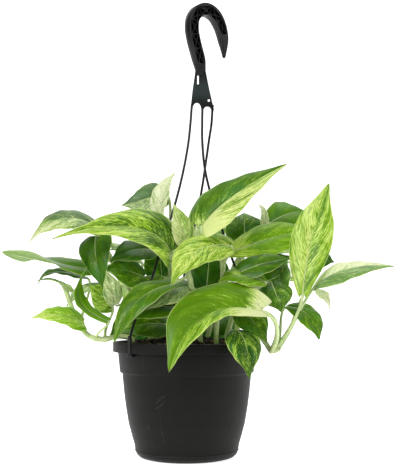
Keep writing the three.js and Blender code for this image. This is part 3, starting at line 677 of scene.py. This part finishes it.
crumb_shape = bmesh.new()
bmesh.ops.create_icosphere(crumb_shape, subdivisions=1, radius=1)
crumb_corners = np.array([v.co for v in crumb_shape.verts])
crumb_faces = np.array([[v.index for v in f.verts] for f in crumb_shape.faces])
crumb_shape.free()
crumb_r = (SOIL_RIM - CRUMB_WALL_GAP) * np.sqrt(rng.uniform(0, 1, CRUMBS))
crumb_a = rng.uniform(0, 2 * math.pi, CRUMBS)
crumb_x, crumb_y = crumb_r * np.cos(crumb_a), crumb_r * np.sin(crumb_a)
crumb_size = rng.uniform(*CRUMB_SIZE, (CRUMBS, 1, 1)) * rng.uniform(*CRUMB_SQUASH, (CRUMBS, 1, 3))
bent = crumb_corners * rng.uniform(*CRUMB_ROUGHNESS, (CRUMBS, len(crumb_corners), 1)) * crumb_size
ways = np.linalg.qr(rng.normal(0, 1, (CRUMBS, 3, 3)))[0]
crumb_places = np.stack([crumb_x, crumb_y, soil_height(crumb_x, crumb_y) + CRUMB_LIFT], -1)
crumb_points = bent @ ways + crumb_places[:, None]
crumb_points, all_faces = gathered([(crumb, crumb_faces) for crumb in crumb_points])

soil_faces = grid_faces(len(soil_r), SOIL_SIDES, wrap=True)
soil = mesh_object("soil", soil_points, soil_faces, peat.material)
crumb_shades = np.repeat(rng.uniform(0.1, 1, CRUMBS) ** 2, len(crumb_corners))
crumbs = mesh_object(
    "soil_crumbs", crumb_points * MM, all_faces, peat.material, 20, {"shade": crumb_shades}
)
for piece in (soil, crumbs):
    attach(piece, "root")
    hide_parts("potting_mix")

# The leafy stems: each stands in the mix and carries two to eight leaves on long stalks. Stems and
# stalks are pale green and smooth, a little thicker at each joint, and grown in one with the blades.
HOLE_FOOT = 95
STEM_RADIUS = 2.7
STALK_RADIUS = 0.7
STALK_RADIUS_SHARE = 0.033
STEM_JOINT_SWELL = 0.22
STEM_JOINT_REACH = 0.035
ROUND_STEM_SHARE = 0.96
STEM_STEPS = 60
STEM_SIDES = 16
STALK_SIDES = 12
STALK_STEPS = 25
STALK_ALONG_STEM = 0.4
STALK_TO_BLADE = 0.6
STALK_UPWARDS = 0.2
STALK_HANDLES = (0.35, 0.3)
STALK_TAPER = 0.28
STALK_FOOT_SWELL = 0.25
ROUND_STALK_SHARE = 0.92
RIB_STEPS = 40
RIB_TOP_SHARE = 0.62
RIB_END_RADIUS = 0.25
RIB_SINK = 0.75
LIGHT_DEPTH = 2
STEMS = {
    "front_left": ((14, -42, 123), (13, -43, 147), (6, -40, 172), (0, -36, 199)),
    "centre": ((30, -42, 123), (31, -43, 147), (36, -36, 177), (37, -32, 205)),
    "front_right": ((46, -26, 123), (52, -32, 135), (52, -36, 147)),
    "left_high": ((-14, 4, 123), (-16, 2, 157), (-17, -6, 187), (-18, -14, 213)),
    "left_mid": ((-38, -4, 123), (-50, -6, 155), (-68, -8, 185), (-84, -6, 213)),
    "left_low": (
        (-56, -14, 123), (-70, -18, 125), (-86, -22, 122), (-100, -24, 126),
        (-112, -22, 141), (-122, -19, 165), (-126, -17, 177),
    ),
    "right_low": ((56, -4, 123), (72, -7, 128), (82, -11, 117), (87, -15, 110), (96, -16, 113)),
    "right_mid": ((42, 6, 123), (50, 8, 155), (55, 8, 183), (56, 4, 209)),
    "right_high": ((22, 24, 123), (32, 24, 162), (50, 20, 197), (62, 20, 221)),
    "back_left": ((-36, 32, 123), (-44, 38, 157), (-54, 46, 189)),
    "back": ((8, 46, 123), (9, 58, 162), (10, 66, 201)),
    "back_right": ((42, 32, 123), (52, 40, 155), (64, 50, 187)),
}

# The blades: waxy hearts drawn out to a point, folded a little along the midrib, green with cream
# and yellow-green marbling that runs out along the side veins. Each leaf has its own share of it,
# and the paler its marbling is, the greyer are its green and cream: partly the marbling's own grey,
# partly painted sheen. A leaf of the table is:
# the share of its stem where its stalk leaves it, base, tip, the way its upper face looks,
# (width, fold, arch, drop of the tip, share where it arches, sweep, waist: lower where it is widest
# near its base, turn at the base, twist of the tip),
# (lightness of the green, paleness of the marbling, its amount left and right of the midrib, more
# of it towards the right margin or, if negative, the left one, and towards the tip or the base).
# What is left out at the end of either is as usual.
USUAL_SHAPE = (40, 18, 5, 2, 0.5, 0, 0.75, 0, 0)
USUAL_TONE = (0.3, 0.5, 0.2, 0.2, 0, 0)
LEAVES = {}
LEAVES["front_left"] = [
    (0.8, (-16, -54, 177), (-70, -80, 121), (-0.45, -0.66, 0.6),
     (35, 26, 10, 2, 0.4, 6, 0.75, 0, -20), (0.34, 0.35, 0.14, 0.18, 0, 0.05)),
    (0.6, (4, -36, 176), (-48, -60, 150), (-0.1, -0.7, 0.7), (38, 20, 5, 3, 0.5, 3), (0.3, 0.9, 0.42, 0.2)),
    (0.4, (-10, -42, 155), (-58, -68, 143), (-0.1, -0.7, 0.7),
     (34, 20, 4, 2, 0.5, 3), (0.3, 0.2, 0.05, 0.05)),
    (0.95, (0, -32, 220), (-13, -46, 259), (0.3, -0.8, 0.2),
     (26, 20, 2, 0, 0.5, 0, 0.6), (0.62, 0.7, 0.7, 0.6)),
]
LEAVES["centre"] = [
    (0.9, (44, -46, 216), (-14, -83, 178), (-0.15, -0.8, 0.6),
     (44, 18, 5, 3, 0.35, 14), (0.45, 0.4, 0.55, 0.5, 0.1)),
    (0.95, (16, -40, 237), (103, -30, 303), (-0.5, -0.62, 0.58),
     (66, 26, 6, 2, 0.3, -1, 0.56, 0, 10), (0.3, 0.6, 0.12, 0.64, 0, -0.4)),
    (0.5, (78, -40, 181), (31, -46, 182), (0, -0.6, 0.8), (34, 18, 5, 3, 0.5, 4), (0.6, 0.5, 0.2, 0.3)),
    (0.7, (52, -40, 189), (106, -34, 205), (-0.1, -0.8, 0.6), (28, 20, 4, 2), (0.2, 0.3, 0.08, 0.06)),
    (0.5, (20, -20, 173), (24, 4, 219), (0.1, -0.9, 0.3), (47, 15, 6, 0), (0.15, 0.3, 0.08, 0.08)),
    (0.95, (45, -26, 211), (140, 14, 240), (-0.15, -0.9, 0.4),
     (38, 18, 5, 2, 0.45, 0, 0.95), (0.85, 0.25, 0.32, 0.27, 0, -0.45)),
]
LEAVES["front_right"] = [
    (0.6, (51, -60, 132), (62, -82, 87), (0.4, -0.85, 0.35),
     (39, 12, 8, 2, 0.3, 0, 0.85), (0, 0.45, 0.3, 0.32)),
    (0.9, (56, -36, 153), (80, -62, 121), (0.1, -0.8, 0.5), (34, 18, 4, 2, 0.4), (0.25, 0.5, 0.25, 0.2)),
]
LEAVES["left_high"] = [
    (0.9, (-16, -43, 211), (-136, -60, 225), (-0.05, -0.6, 0.8),
     (62, 30, 22.5, 4, 0.22, 0, 0.58, -20, 6), (0.24, 0.3, 0.46, 0.43, 0, 0.12)),
    (0.95, (-28, -14, 247), (-13, -12, 296), (-0.6, -0.75, 0.3),
     (27, 44, 2, 2, 0.5, -3), (0.35, 0.95, 0.8, 0.68)),
    (0.95, (-29, 8, 275), (-71, 8, 263), (-0.1, -0.9, 0.3),
     (35, 18, 3, 2, 0.5, -3, 0.45), (0.05, 0.92, 0.5, 0.1)),
    (0.66, (-26, -2, 181), (-30, 8, 229), (0, -0.9, 0.3), (36, 22, 3, 2), (0.15, 0.5, 0.2, 0.15)),
    (0.35, (-24, -18, 160), (-50, -28, 186), (-0.1, -0.7, 0.7), (40, 18, 6, 2), (0.2, 0.6, 0.15, 0.2)),
    (0.8, (-36, -18, 214), (-78, -37, 202), (-0.1, -0.75, 0.65), (36, 20, 6, 2), (0.18, 0.5, 0.03, 0.05)),
    (0.6, (-44, -20, 186), (-83, -40, 194), (-0.1, -0.85, 0.5), (38, 20, 4, 2), (0.3, 0.4, 0.2, 0.15)),
    (0.25, (-18, 12, 145), (-50, 8, 128), (0, -0.9, 0.4), (34, 18, 3, 0), (0.12, 0.3, 0.06, 0.05)),
]
LEAVES["left_mid"] = [
    (0.95, (-92, -12, 237), (-165, -34, 225), (-0.2, -0.65, 0.75),
     (44, 18, 17, 8, 0.46, 0, 0.62), (0.12, 0.8, 0.45, 0.2, 0, 0.35)),
    (0.8, (-93, -20, 193), (-184, -52, 210), (0.1, -0.35, 0.93),
     (54, 24, -1, 0, 0.45, 0, 1.2, -20, 62), (0.45, 0.3, 0.12, 0.1)),
    (0.9, (-94, -18, 228), (-82, -40, 171), (-0.4, -0.8, 0.4),
     (38, 20, 8, 0, 0.4, 0, 0.55), (0.22, 0.4, 0.04, 0.08)),
    (0.4, (-72, -34, 158), (-80, -50, 192), (0.2, -0.85, 0.1), (20, 18, 4, 0), (0.35, 0.9, 0.5, 0.5)),
    (0.25, (-19, -16, 137), (-69, -38, 131), (-0.1, -0.8, 0.5), (34, 18, 6, 2), (0.25, 0.4, 0.15, 0.15)),
    (0.15, (-52, 6, 141), (-81, 0, 124), (0.1, -0.9, 0.35), (30, 18, 3, 0), (0.2, 0.4, 0.15, 0.15)),
]
LEAVES["left_low"] = [
    (0.6, (-106, -8, 186), (-157, -24, 185), (0, -0.35, 0.93),
     (28, 26, 6, 10, 0.6, 0, 0.5), (0.3, 0.4, 0.1, 0.1)),
    (0.98, (-119, -18, 171), (-152, -40, 181), (0, -0.15, 1), (25, 24, 6, 0), (0.3, 0.6, 0.3, 0.2)),
    (0.62, (-105, -28, 139), (-155, -50, 145), (-0.1, -0.7, 0.7),
     (31, 18, 8, 2, 0.5, 0, 0.6), (1, 0.45, 0.5, 0.4, 0, 0.3)),
    (0.4, (-79, -42, 141), (-98, -56, 195), (0.75, -0.6, 0.1),
     (17, 30, -27, 0, 0.45), (0.6, 0.2, 0.04, 0.06)),
    (0.3, (-77, -14, 156), (-100, -26, 177), (0.1, -0.9, 0.3), (30, 18, 4, 0), (0.45, 0.5, 0.5, 0.45)),
]
LEAVES["right_low"] = [
    (0.75, (74, -66, 151), (-17, -103, 98), (-0.2, -0.5, 0.87),
     (70, 42, 15, 8, 0.42, 21, 0.75, 0, -14), (0.56, 0.58, 0.36, 0.12, -0.1, -0.85)),
    (0.85, (118, -34, 169), (146, -28, 282), (-0.2, -0.95, 0.1),
     (43, 20, -8, 2, 0.45, -5, 1.1), (0.5, 0.5, 0.6, 0.46)),
    (0.95, (133, -20, 177), (213, -30, 199), (-0.1, -0.5, 0.87),
     (39, 16, 9, 3, 0.3, 0, 0.9), (0.5, 0.9, 0.8, 0.26, 0, 0.1)),
    (0.9, (106, -10, 155), (136, -26, 122), (0.4, -0.7, 0.5),
     (31, 18, 6, 2, 0.4, -6, 1.05), (0.35, 0.5, 0.16, 0.14)),
    (0.98, (135, 4, 173), (151, 0, 152), (0.5, -0.6, 0.6), (17, 18, 5, 2, 0.4), (0.5, 1, 0.8, 0.8)),
]
LEAVES["right_mid"] = [
    (0.75, (65, -26, 189), (108, -6, 208), (-0.1, -0.9, 0.4), (34, 18, 3, 0), (0.2, 0.4, 0.1, 0.08)),
    (0.4, (87, -30, 178), (95, -46, 150), (0.1, -0.9, 0.3), (36, 18, 3, 0), (0.22, 0.6, 0.25, 0.2)),
    (0.55, (95, -20, 175), (104, -18, 201), (-0.3, -0.5, 0.8), (30, 20, 5, 0), (0.3, 0.7, 0.25, 0.2)),
]
LEAVES["right_high"] = [
    (0.95, (90, 34, 246), (133, 50, 260), (0.1, -0.75, 0.65), (46, 16, 6, 2), (0.5, 0.3, 0.03, 0.03)),
    (0.9, (62, 16, 223), (62, 40, 259), (-0.1, -0.8, 0.5), (43, 16, 6, 2), (0.22, 0.5, 0.2, 0.2)),
    (0.95, (80, 16, 239), (76, 24, 267), (0.3, -0.8, 0.3), (9, 18, 4, 2, 0.5, 4), (0.5, 0.9, 0.8, 0.7)),
    (0.7, (136, 20, 203), (156, 10, 202), (0, -0.8, 0.6), (26, 18, 4, 0), (0.2, 0.5, 0.1, 0.1)),
]
LEAVES["back_left"] = [
    (0.95, (-62, 58, 211), (-120, 100, 227), (-0.2, 0.3, 0.9), (52, 18, 8, 4), (0.45, 0.6, 0.4, 0.3)),
    (0.7, (-80, 50, 177), (-140, 84, 157), (-0.4, 0.2, 0.85), (48, 18, 10, 4, 0.4), (0.3, 0.6, 0.2, 0.35)),
    (0.6, (-46, 76, 185), (-78, 138, 163), (-0.2, 0.6, 0.7), (48, 18, 10, 4, 0.4), (0.55, 0.5, 0.5, 0.4)),
    (0.95, (-50, 32, 204), (-84, 20, 218), (0.1, -0.3, 0.9), (42, 18, 6, 3), (0.3, 0.7, 0.3, 0.3)),
    (0.85, (-74, 40, 201), (-130, 44, 199), (-0.2, 0.1, 0.95), (44, 18, 8, 4, 0.4), (0.5, 0.4, 0.45, 0.5)),
    (0.35, (-48, 92, 155), (-45, 90, 94), (0, -0.9, 0.3), (50, 18, 3, 0), (-0.1, 0.3, 0.05, 0.05)),
]
LEAVES["back"] = [
    (0.9, (8, 88, 211), (-14, 150, 223), (-0.1, 0.2, 0.95), (54, 18, 10, 6, 0.4), (0.4, 0.7, 0.35, 0.5)),
    (0.6, (26, 90, 160), (22, 95, 92), (0, -0.9, 0.3), (50, 18, 3, 4, 0.4), (-0.1, 0.3, 0.05, 0.05)),
    (0.5, (-10, 88, 165), (-36, 148, 137), (-0.1, 0.7, 0.6), (50, 18, 10, 4, 0.4), (0.6, 0.5, 0.5, 0.45)),
    (0.95, (18, 72, 227), (30, 96, 267), (0.1, -0.6, 0.6), (40, 18, 4, 2), (0.35, 0.8, 0.6, 0.3)),
    (0.3, (42, 52, 145), (20, 38, 125), (0, -0.9, 0.4), (42, 18, 3, 0), (0.12, 0.3, 0.08, 0.05)),
]
LEAVES["back_right"] = [
    (0.95, (76, 60, 201), (134, 92, 219), (0.2, 0.3, 0.9), (52, 18, 8, 4), (0.5, 0.5, 0.4, 0.5)),
    (0.75, (84, 44, 175), (140, 72, 181), (0.3, 0.2, 0.9), (46, 18, 8, 4, 0.4), (0.3, 0.7, 0.25, 0.4)),
    (0.5, (68, 72, 177), (110, 118, 169), (0.3, 0.5, 0.8), (48, 18, 10, 4, 0.4), (0.4, 0.6, 0.4, 0.3)),
    (0.9, (64, 66, 219), (92, 104, 253), (0.2, -0.3, 0.9), (46, 18, 6, 2), (0.25, 0.5, 0.15, 0.2)),
]

BLADE_ROWS = 64
BLADE_COLUMNS = 33
BLADE_POINTS = BLADE_ROWS * BLADE_COLUMNS
ROW_CROWDING = 1.15
BLADE_THICKNESS = 0.45
MARGIN_THINNING = 0.6
BLADE_RELAX = 22
BASE_START = 0.07
OUTLINE_FULLNESS = 0.9
LOBE_LENGTH = 0.19
LOBE_ROUNDING = 0.5
WAVE_HEIGHT = 1.4
WAVE_TURNS = (1.6, 0.3)
DROP_START = 0.6
TIP_NARROWING = 0.28
TIP_START = (0.72, 0.2)
TIP_END = (1.02, 0.1)
MIDRIB_GROOVE = 0.35
GROOVE_REACH = 1.1
RIPPLE_HEIGHT = 0.5
RIPPLE_TURNS = (4.3, 0.8)
RIPPLE_SHIFT = 0.37
MIDRIB_END = 0.9


def midrib(leaf, u):
    """Places of a leaf's midrib and the directions along, up and to the right of it: a quadratic
    curve from base to tip, bent by arch and sweep and dropped at its end, its face turned at the
    base and twisted at the tip."""
    _, base, tip, face, (_, _, arch, drop, lead, sweep, _, turn, twist), _ = leaf
    b, t, f = (np.array(k, float) for k in (base, tip, face))
    along = unit(t - b)
    up = unit(f - (f @ along) * along)
    middle = b + (t - b) * lead + 2 * arch * up + 2 * sweep * np.cross(along, up)
    u = np.atleast_1d(u)[:, None]
    place = (1 - u) ** 2 * b + 2 * u * (1 - u) * middle + u**2 * t
    way = unit((1 - u) * (middle - b) + u * (t - middle))
    above = unit(up - (way @ up)[:, None] * way)
    angle = np.radians(turn * (1 - u) ** 2 + twist * u**2)
    above = above * np.cos(angle) + np.cross(way, above) * np.sin(angle)
    place = place - above * drop * np.clip((u - DROP_START) / (1 - DROP_START), 0, 1) ** 2
    return place, way, above, np.cross(way, above)


def blade_points(leaf, seed):
    """A blade's two faces. A point is the midrib's at u, moved sideways by the half width at u times
    v, up by the fold, a slow wave and a ripple that grow towards the margin, less the groove, and
    back by its lobe."""
    _, base, _, _, (width, fold, _, _, _, _, waist, _, _), _ = leaf
    u = 1 - (1 - np.linspace(0, 1, BLADE_ROWS)) ** ROW_CROWDING
    v = np.sin(np.linspace(-1, 1, BLADE_COLUMNS) * math.pi / 2)[None]
    place, way, above, side = (k[:, None] for k in midrib(leaf, u))
    u = u[:, None]
    widening = ((u + BASE_START) / (1 + BASE_START)) ** waist
    half = width / 2 * np.sin(math.pi * widening) ** OUTLINE_FULLNESS
    at_tip = np.clip((u - TIP_START[0]) / TIP_START[1], 0, 1) * np.clip((TIP_END[0] - u) / TIP_END[1], 0, 1)
    half = half * (1 - TIP_NARROWING * at_tip)
    r = np.abs(v)
    angle = np.radians(fold - BLADE_RELAX * r)
    turns = WAVE_TURNS[0] * u + WAVE_TURNS[1] * v + base[0] * 0.01 + base[2] * 0.02
    wave = WAVE_HEIGHT * r**2 * np.sin(2 * math.pi * turns) * (1 - u)
    turns = RIPPLE_TURNS[0] * u + RIPPLE_TURNS[1] * v + seed
    ripple = RIPPLE_HEIGHT * r**3 * np.sin(2 * math.pi * turns) * np.sin(math.pi * u)
    groove = MIDRIB_GROOVE * np.exp(-((half * r / GROOVE_REACH) ** 2)) * (1 - u)
    rise = half * r * np.sin(angle) + wave + ripple - groove
    back = LOBE_LENGTH * width * (r**1.5 - LOBE_ROUNDING * r**6) * (1 - u) ** 5
    sheet = (
        place + side * (half * v * np.cos(angle))[..., None]
        + above * rise[..., None] - way * back[..., None]
    )
    normal = unit(np.cross(np.gradient(sheet, axis=1), np.gradient(sheet, axis=0)))
    normal[-1] = normal[-2]
    normal *= np.sign((normal * above).sum(-1, keepdims=True))
    thin = BLADE_THICKNESS / 2 * (1 - MARGIN_THINNING * r**6)[..., None] * np.ones_like(u)[..., None]
    coordinates = np.stack(np.broadcast_arrays(u, v, seed), -1)
    return sheet + normal * thin, sheet - normal * thin, coordinates


def blade_faces(first):
    """Faces of a blade's upper and under grids and of the margin between them, counted from first."""
    upper = grid_faces(BLADE_ROWS, BLADE_COLUMNS, first)
    rim = np.concatenate([
        np.arange(BLADE_COLUMNS),
        np.arange(1, BLADE_ROWS) * BLADE_COLUMNS + BLADE_COLUMNS - 1,
        (BLADE_ROWS - 1) * BLADE_COLUMNS + np.arange(BLADE_COLUMNS - 2, -1, -1),
        np.arange(BLADE_ROWS - 2, 0, -1) * BLADE_COLUMNS,
    ]) + first
    ahead = np.roll(rim, -1)
    margin = np.stack([rim, ahead, ahead + BLADE_POINTS, rim + BLADE_POINTS], -1)
    return np.concatenate([upper, (upper + BLADE_POINTS)[:, ::-1], margin[:, ::-1]])


def stalk_path(leaf, stem_line):
    """A leaf stalk: a cubic curve from the stem to the base of the blade, then close under the
    midrib, where it thins towards the tip. Gives its points and its radius at each."""
    share, base, _, _, (width, *_), _ = leaf
    radius = STALK_RADIUS + STALK_RADIUS_SHARE * width
    start = smooth_curve(stem_line, share)[0]
    ends = smooth_curve(stem_line, [share - SMALL_STEP, min(share + SMALL_STEP, 1)])
    place, way, above, _ = midrib(leaf, np.linspace(0, MIDRIB_END, RIB_STEPS))
    length = np.linalg.norm(place[0] - start)
    leaving = STALK_ALONG_STEM * unit(ends[1] - ends[0]) + STALK_TO_BLADE * unit(place[0] - start)
    leaving = unit(leaving + (0, 0, STALK_UPWARDS))
    t = np.linspace(0, 1, STALK_STEPS + 1)[:-1, None]
    a = start + STALK_HANDLES[0] * length * leaving
    b = place[0] - STALK_HANDLES[1] * length * way[0]
    curve = (1 - t) ** 3 * start + 3 * t * (1 - t) ** 2 * a + 3 * t**2 * (1 - t) * b + t**3 * place[0]
    share_left = np.linspace(1, 0, RIB_STEPS) ** 1.3
    rib = RIB_END_RADIUS + (RIB_TOP_SHARE * radius - RIB_END_RADIUS) * share_left
    under = place - above * (rib * RIB_SINK)[:, None]
    run = t[:, 0]
    thickness = radius * (1 - STALK_TAPER * run + STALK_FOOT_SWELL * (1 - run) ** 8) * ROUND_STALK_SHARE
    return np.concatenate([curve, under]), np.concatenate([thickness, rib])


stalk_skin = Finish(
    "stem_pale_green", Specular_IOR_Level=0.45, Subsurface_Weight=0.25,
    Subsurface_Radius=(0.5, 1.0, 0.3), Subsurface_Scale=LIGHT_DEPTH * MM,
)
lengthwise = stalk_skin.attribute("along")
threads = (lengthwise * (0.35, 1.6, 1.0)).noise(2.2, 3)
clouds = stalk_skin.place.noise(38, 3)
stalk_green = clouds.step(0.3, 0.7).between(rgb(140, 172, 86), rgb(188, 208, 134))
stalk_skin.feed("Base Color", (threads.step(0.4, 0.6) * 0.85).between(stalk_green, rgb(224, 234, 182)))
stalk_skin.feed("Roughness", 0.36 + 0.14 * clouds)
stalk_skin.relief(threads, 0.2, 0.5)

wax = Finish(
    "leaf_wax", Specular_IOR_Level=0.22, Subsurface_Weight=0.2,
    Subsurface_Radius=(0.5, 1.0, 0.2), Subsurface_Scale=LIGHT_DEPTH * MM,
)
u, v, seed = wax.attribute("leaf").parts()
green, pale, lean_edge = wax.attribute("tone").parts()
left, right, towards_tip = wax.attribute("halves").parts()
underside = wax.attribute("underside", "Fac")
r = abs(v)
vein = u - 0.26 * r - 0.2 * r * r
right_half = v.step(-0.03, 0.03)
patches = together(vein * 6, v * 1.6 + 5.0 * right_half, seed * 3.1).noise(1, 2)
wander = vein + 0.06 * (patches - 0.5)
streaks = together(wander * 38, v * 3.2 + 3.0 * right_half, seed * 7.3).noise(1, 6, 0.76)
flecks = together(wander * 96, v * 10.0, seed * 5.7).noise(1, 3, 0.7)
margin_side = (lean_edge * v).larger(0.0)
at_tip = towards_tip.larger(0.0) * u.step(0.35, 1.0)
half_amount = left + (right - left) * right_half
paler_half = (half_amount * 3).step(0.0, 1.0)
at_base = (0.0 - towards_tip).larger(0.0) * (1 - (u * (3 - 2 * paler_half)).step(0.05, 0.45))
amount = half_amount + margin_side * r * 1.4 + at_tip + at_base
field = 0.5 + 2.4 * (patches * 0.4 + streaks * 0.6 - 0.5) + 1.3 * (flecks - 0.5)
wash = (field + amount).step(0.8, 1.1)
marbled = (field + amount).step(1.0, 1.3)
depth_of_green = green + 0.6 * (patches - 0.5) + 0.6 * (flecks - 0.5)
leaf_green = depth_of_green.between(rgb(32, 76, 2), rgb(120, 168, 8))
# Slow patches of bluish green: partly the leaf's own hue, partly painted sheen, the bluish reflection on
# the waxy top.
bluish_hue_and_sheen = together(u * 2.6, v * 1.3, seed * 9.1).noise(1, 2).step(0.5, 0.68)
leaf_green = (bluish_hue_and_sheen * 0.4).between(leaf_green, rgb(66, 124, 56))
# Greying of the green, lime and cream of pale-marbled leaves: partly their own grey marbling, partly
# painted sheen.
grey_marbling_and_sheen = (pale * 2.4 - 1.4).larger(at_base * pale * 1.6 - 0.2).larger(0.0)
leaf_green = (grey_marbling_and_sheen * 0.45).between(leaf_green, rgb(136, 158, 120))
lime = (pale + 0.6 * (flecks - 0.5)).between(rgb(148, 194, 14), rgb(182, 210, 84))
lime = (grey_marbling_and_sheen * 0.7).between(lime, rgb(170, 190, 138))
cream = (pale + 0.9 * (streaks - 0.5)).between(rgb(192, 220, 46), rgb(236, 240, 176))
cream = (grey_marbling_and_sheen * 0.75).between(cream, rgb(226, 231, 202))
blade_colour = marbled.between(wash.between(leaf_green, lime), cream)
fleck_mask = (flecks * 0.6 + streaks * 0.4).step(0.56, 0.62) * (amount * 2.4).step(0.1, 1.0)
blade_colour = (fleck_mask * 0.8).between(blade_colour, cream)
green_mask = (1 - (flecks * 0.5 + streaks * 0.5)).step(0.5, 0.57) * wash * amount.step(1.1, 0.4)
blade_colour = green_mask.between(blade_colour, leaf_green)
side_veins = abs(((u - 0.34 * r) * 34).maths("SINE")).step(0.25, 0.0)
tints = [
    ((1 - r.step(0.01, 0.04)) * 0.1, rgb(176, 204, 80)),
    (r.step(0.95, 0.99) * 0.65, rgb(208, 224, 136)),
    (side_veins * (1 - wash) * 0.12, rgb(140, 180, 80)),
    (u.step(0.965, 0.995) * 0.6, rgb(96, 104, 50)),
    (underside * 0.5, rgb(168, 188, 128)),
]
for mask, tint in tints:
    blade_colour = mask.between(blade_colour, tint)
wax.feed("Base Color", blade_colour)
wax.feed("Roughness", 0.28 + 0.12 * patches + 0.2 * underside)
off_midrib = r.step(0.02, 0.12)
wax.relief(0.8 + off_midrib * ((1 - side_veins) * 0.7 + streaks * 0.3 - 0.8), 0.5, 0.6)

leaf_number = 0
for name, stem_line in STEMS.items():
    leaves = [
        (*places, shape + USUAL_SHAPE[len(shape):], tone + USUAL_TONE[len(tone):])
        for *places, shape, tone in LEAVES[name]
    ]
    joints = np.array([leaf[0] for leaf in leaves])
    foot = (*stem_line[0][:2], HOLE_FOOT + GAP)
    stem_t = np.linspace(0, 1, STEM_STEPS)
    swell = 1 + STEM_JOINT_SWELL * np.exp(-(((stem_t[:, None] - joints) / STEM_JOINT_REACH) ** 2)).max(1)
    stem_path = np.concatenate([[foot], smooth_curve(stem_line, stem_t)])
    stem_radii = np.concatenate([[1], swell]) * STEM_RADIUS * ROUND_STEM_SHARE
    shapes = [(stem_path, stem_radii, STEM_SIDES)]
    shapes += [(*stalk_path(leaf, stem_line), STALK_SIDES) for leaf in leaves]
    parts, along = [], []
    for path, radii, sides in shapes:
        parts.append(tube(path, radii, sides))
        run = np.cumsum(np.linalg.norm(np.diff(path, axis=0), axis=1))
        run = np.concatenate([[0, 0], run, run[-1:]])
        round_way = np.cos(round_circle(sides)) * 3
        thread_places = np.broadcast_arrays(run[:, None] * 0.1, round_way, len(along) * 4.0)
        along.append(np.stack(thread_places, -1).reshape(-1, 3))
    stalk_points, stalk_faces = gathered(parts)
    stalks = mesh_object(
        f"stalks_{name}", stalk_points * MM, stalk_faces, stalk_skin.material,
        carried={"along": np.concatenate(along)},
    )
    blades, faces = [], []
    carried = {"leaf": [], "tone": [], "halves": [], "underside": []}
    for leaf in leaves:
        upper, under, coordinates = blade_points(leaf, (leaf_number * RIPPLE_SHIFT) % 1)
        faces.append(blade_faces(2 * BLADE_POINTS * len(faces)))
        blades += [upper.reshape(-1, 3), under.reshape(-1, 3)]
        carried["leaf"] += (coordinates.reshape(-1, 3) + (0, 0, leaf_number)).tolist() * 2
        lightness, paleness, on_left, on_right, to_edge, to_tip = leaf[-1]
        carried["tone"] += [(lightness, paleness, to_edge)] * 2 * BLADE_POINTS
        carried["halves"] += [(on_left, on_right, to_tip)] * 2 * BLADE_POINTS
        carried["underside"] += [0.0] * BLADE_POINTS + [1.0] * BLADE_POINTS
        leaf_number += 1
    blade_piece = mesh_object(
        f"leaves_{name}", np.concatenate(blades) * MM, np.concatenate(faces), wax.material, carried=carried
    )
    for piece in (stalks, blade_piece):
        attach(piece, "root")
        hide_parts(f"stem_{name}")
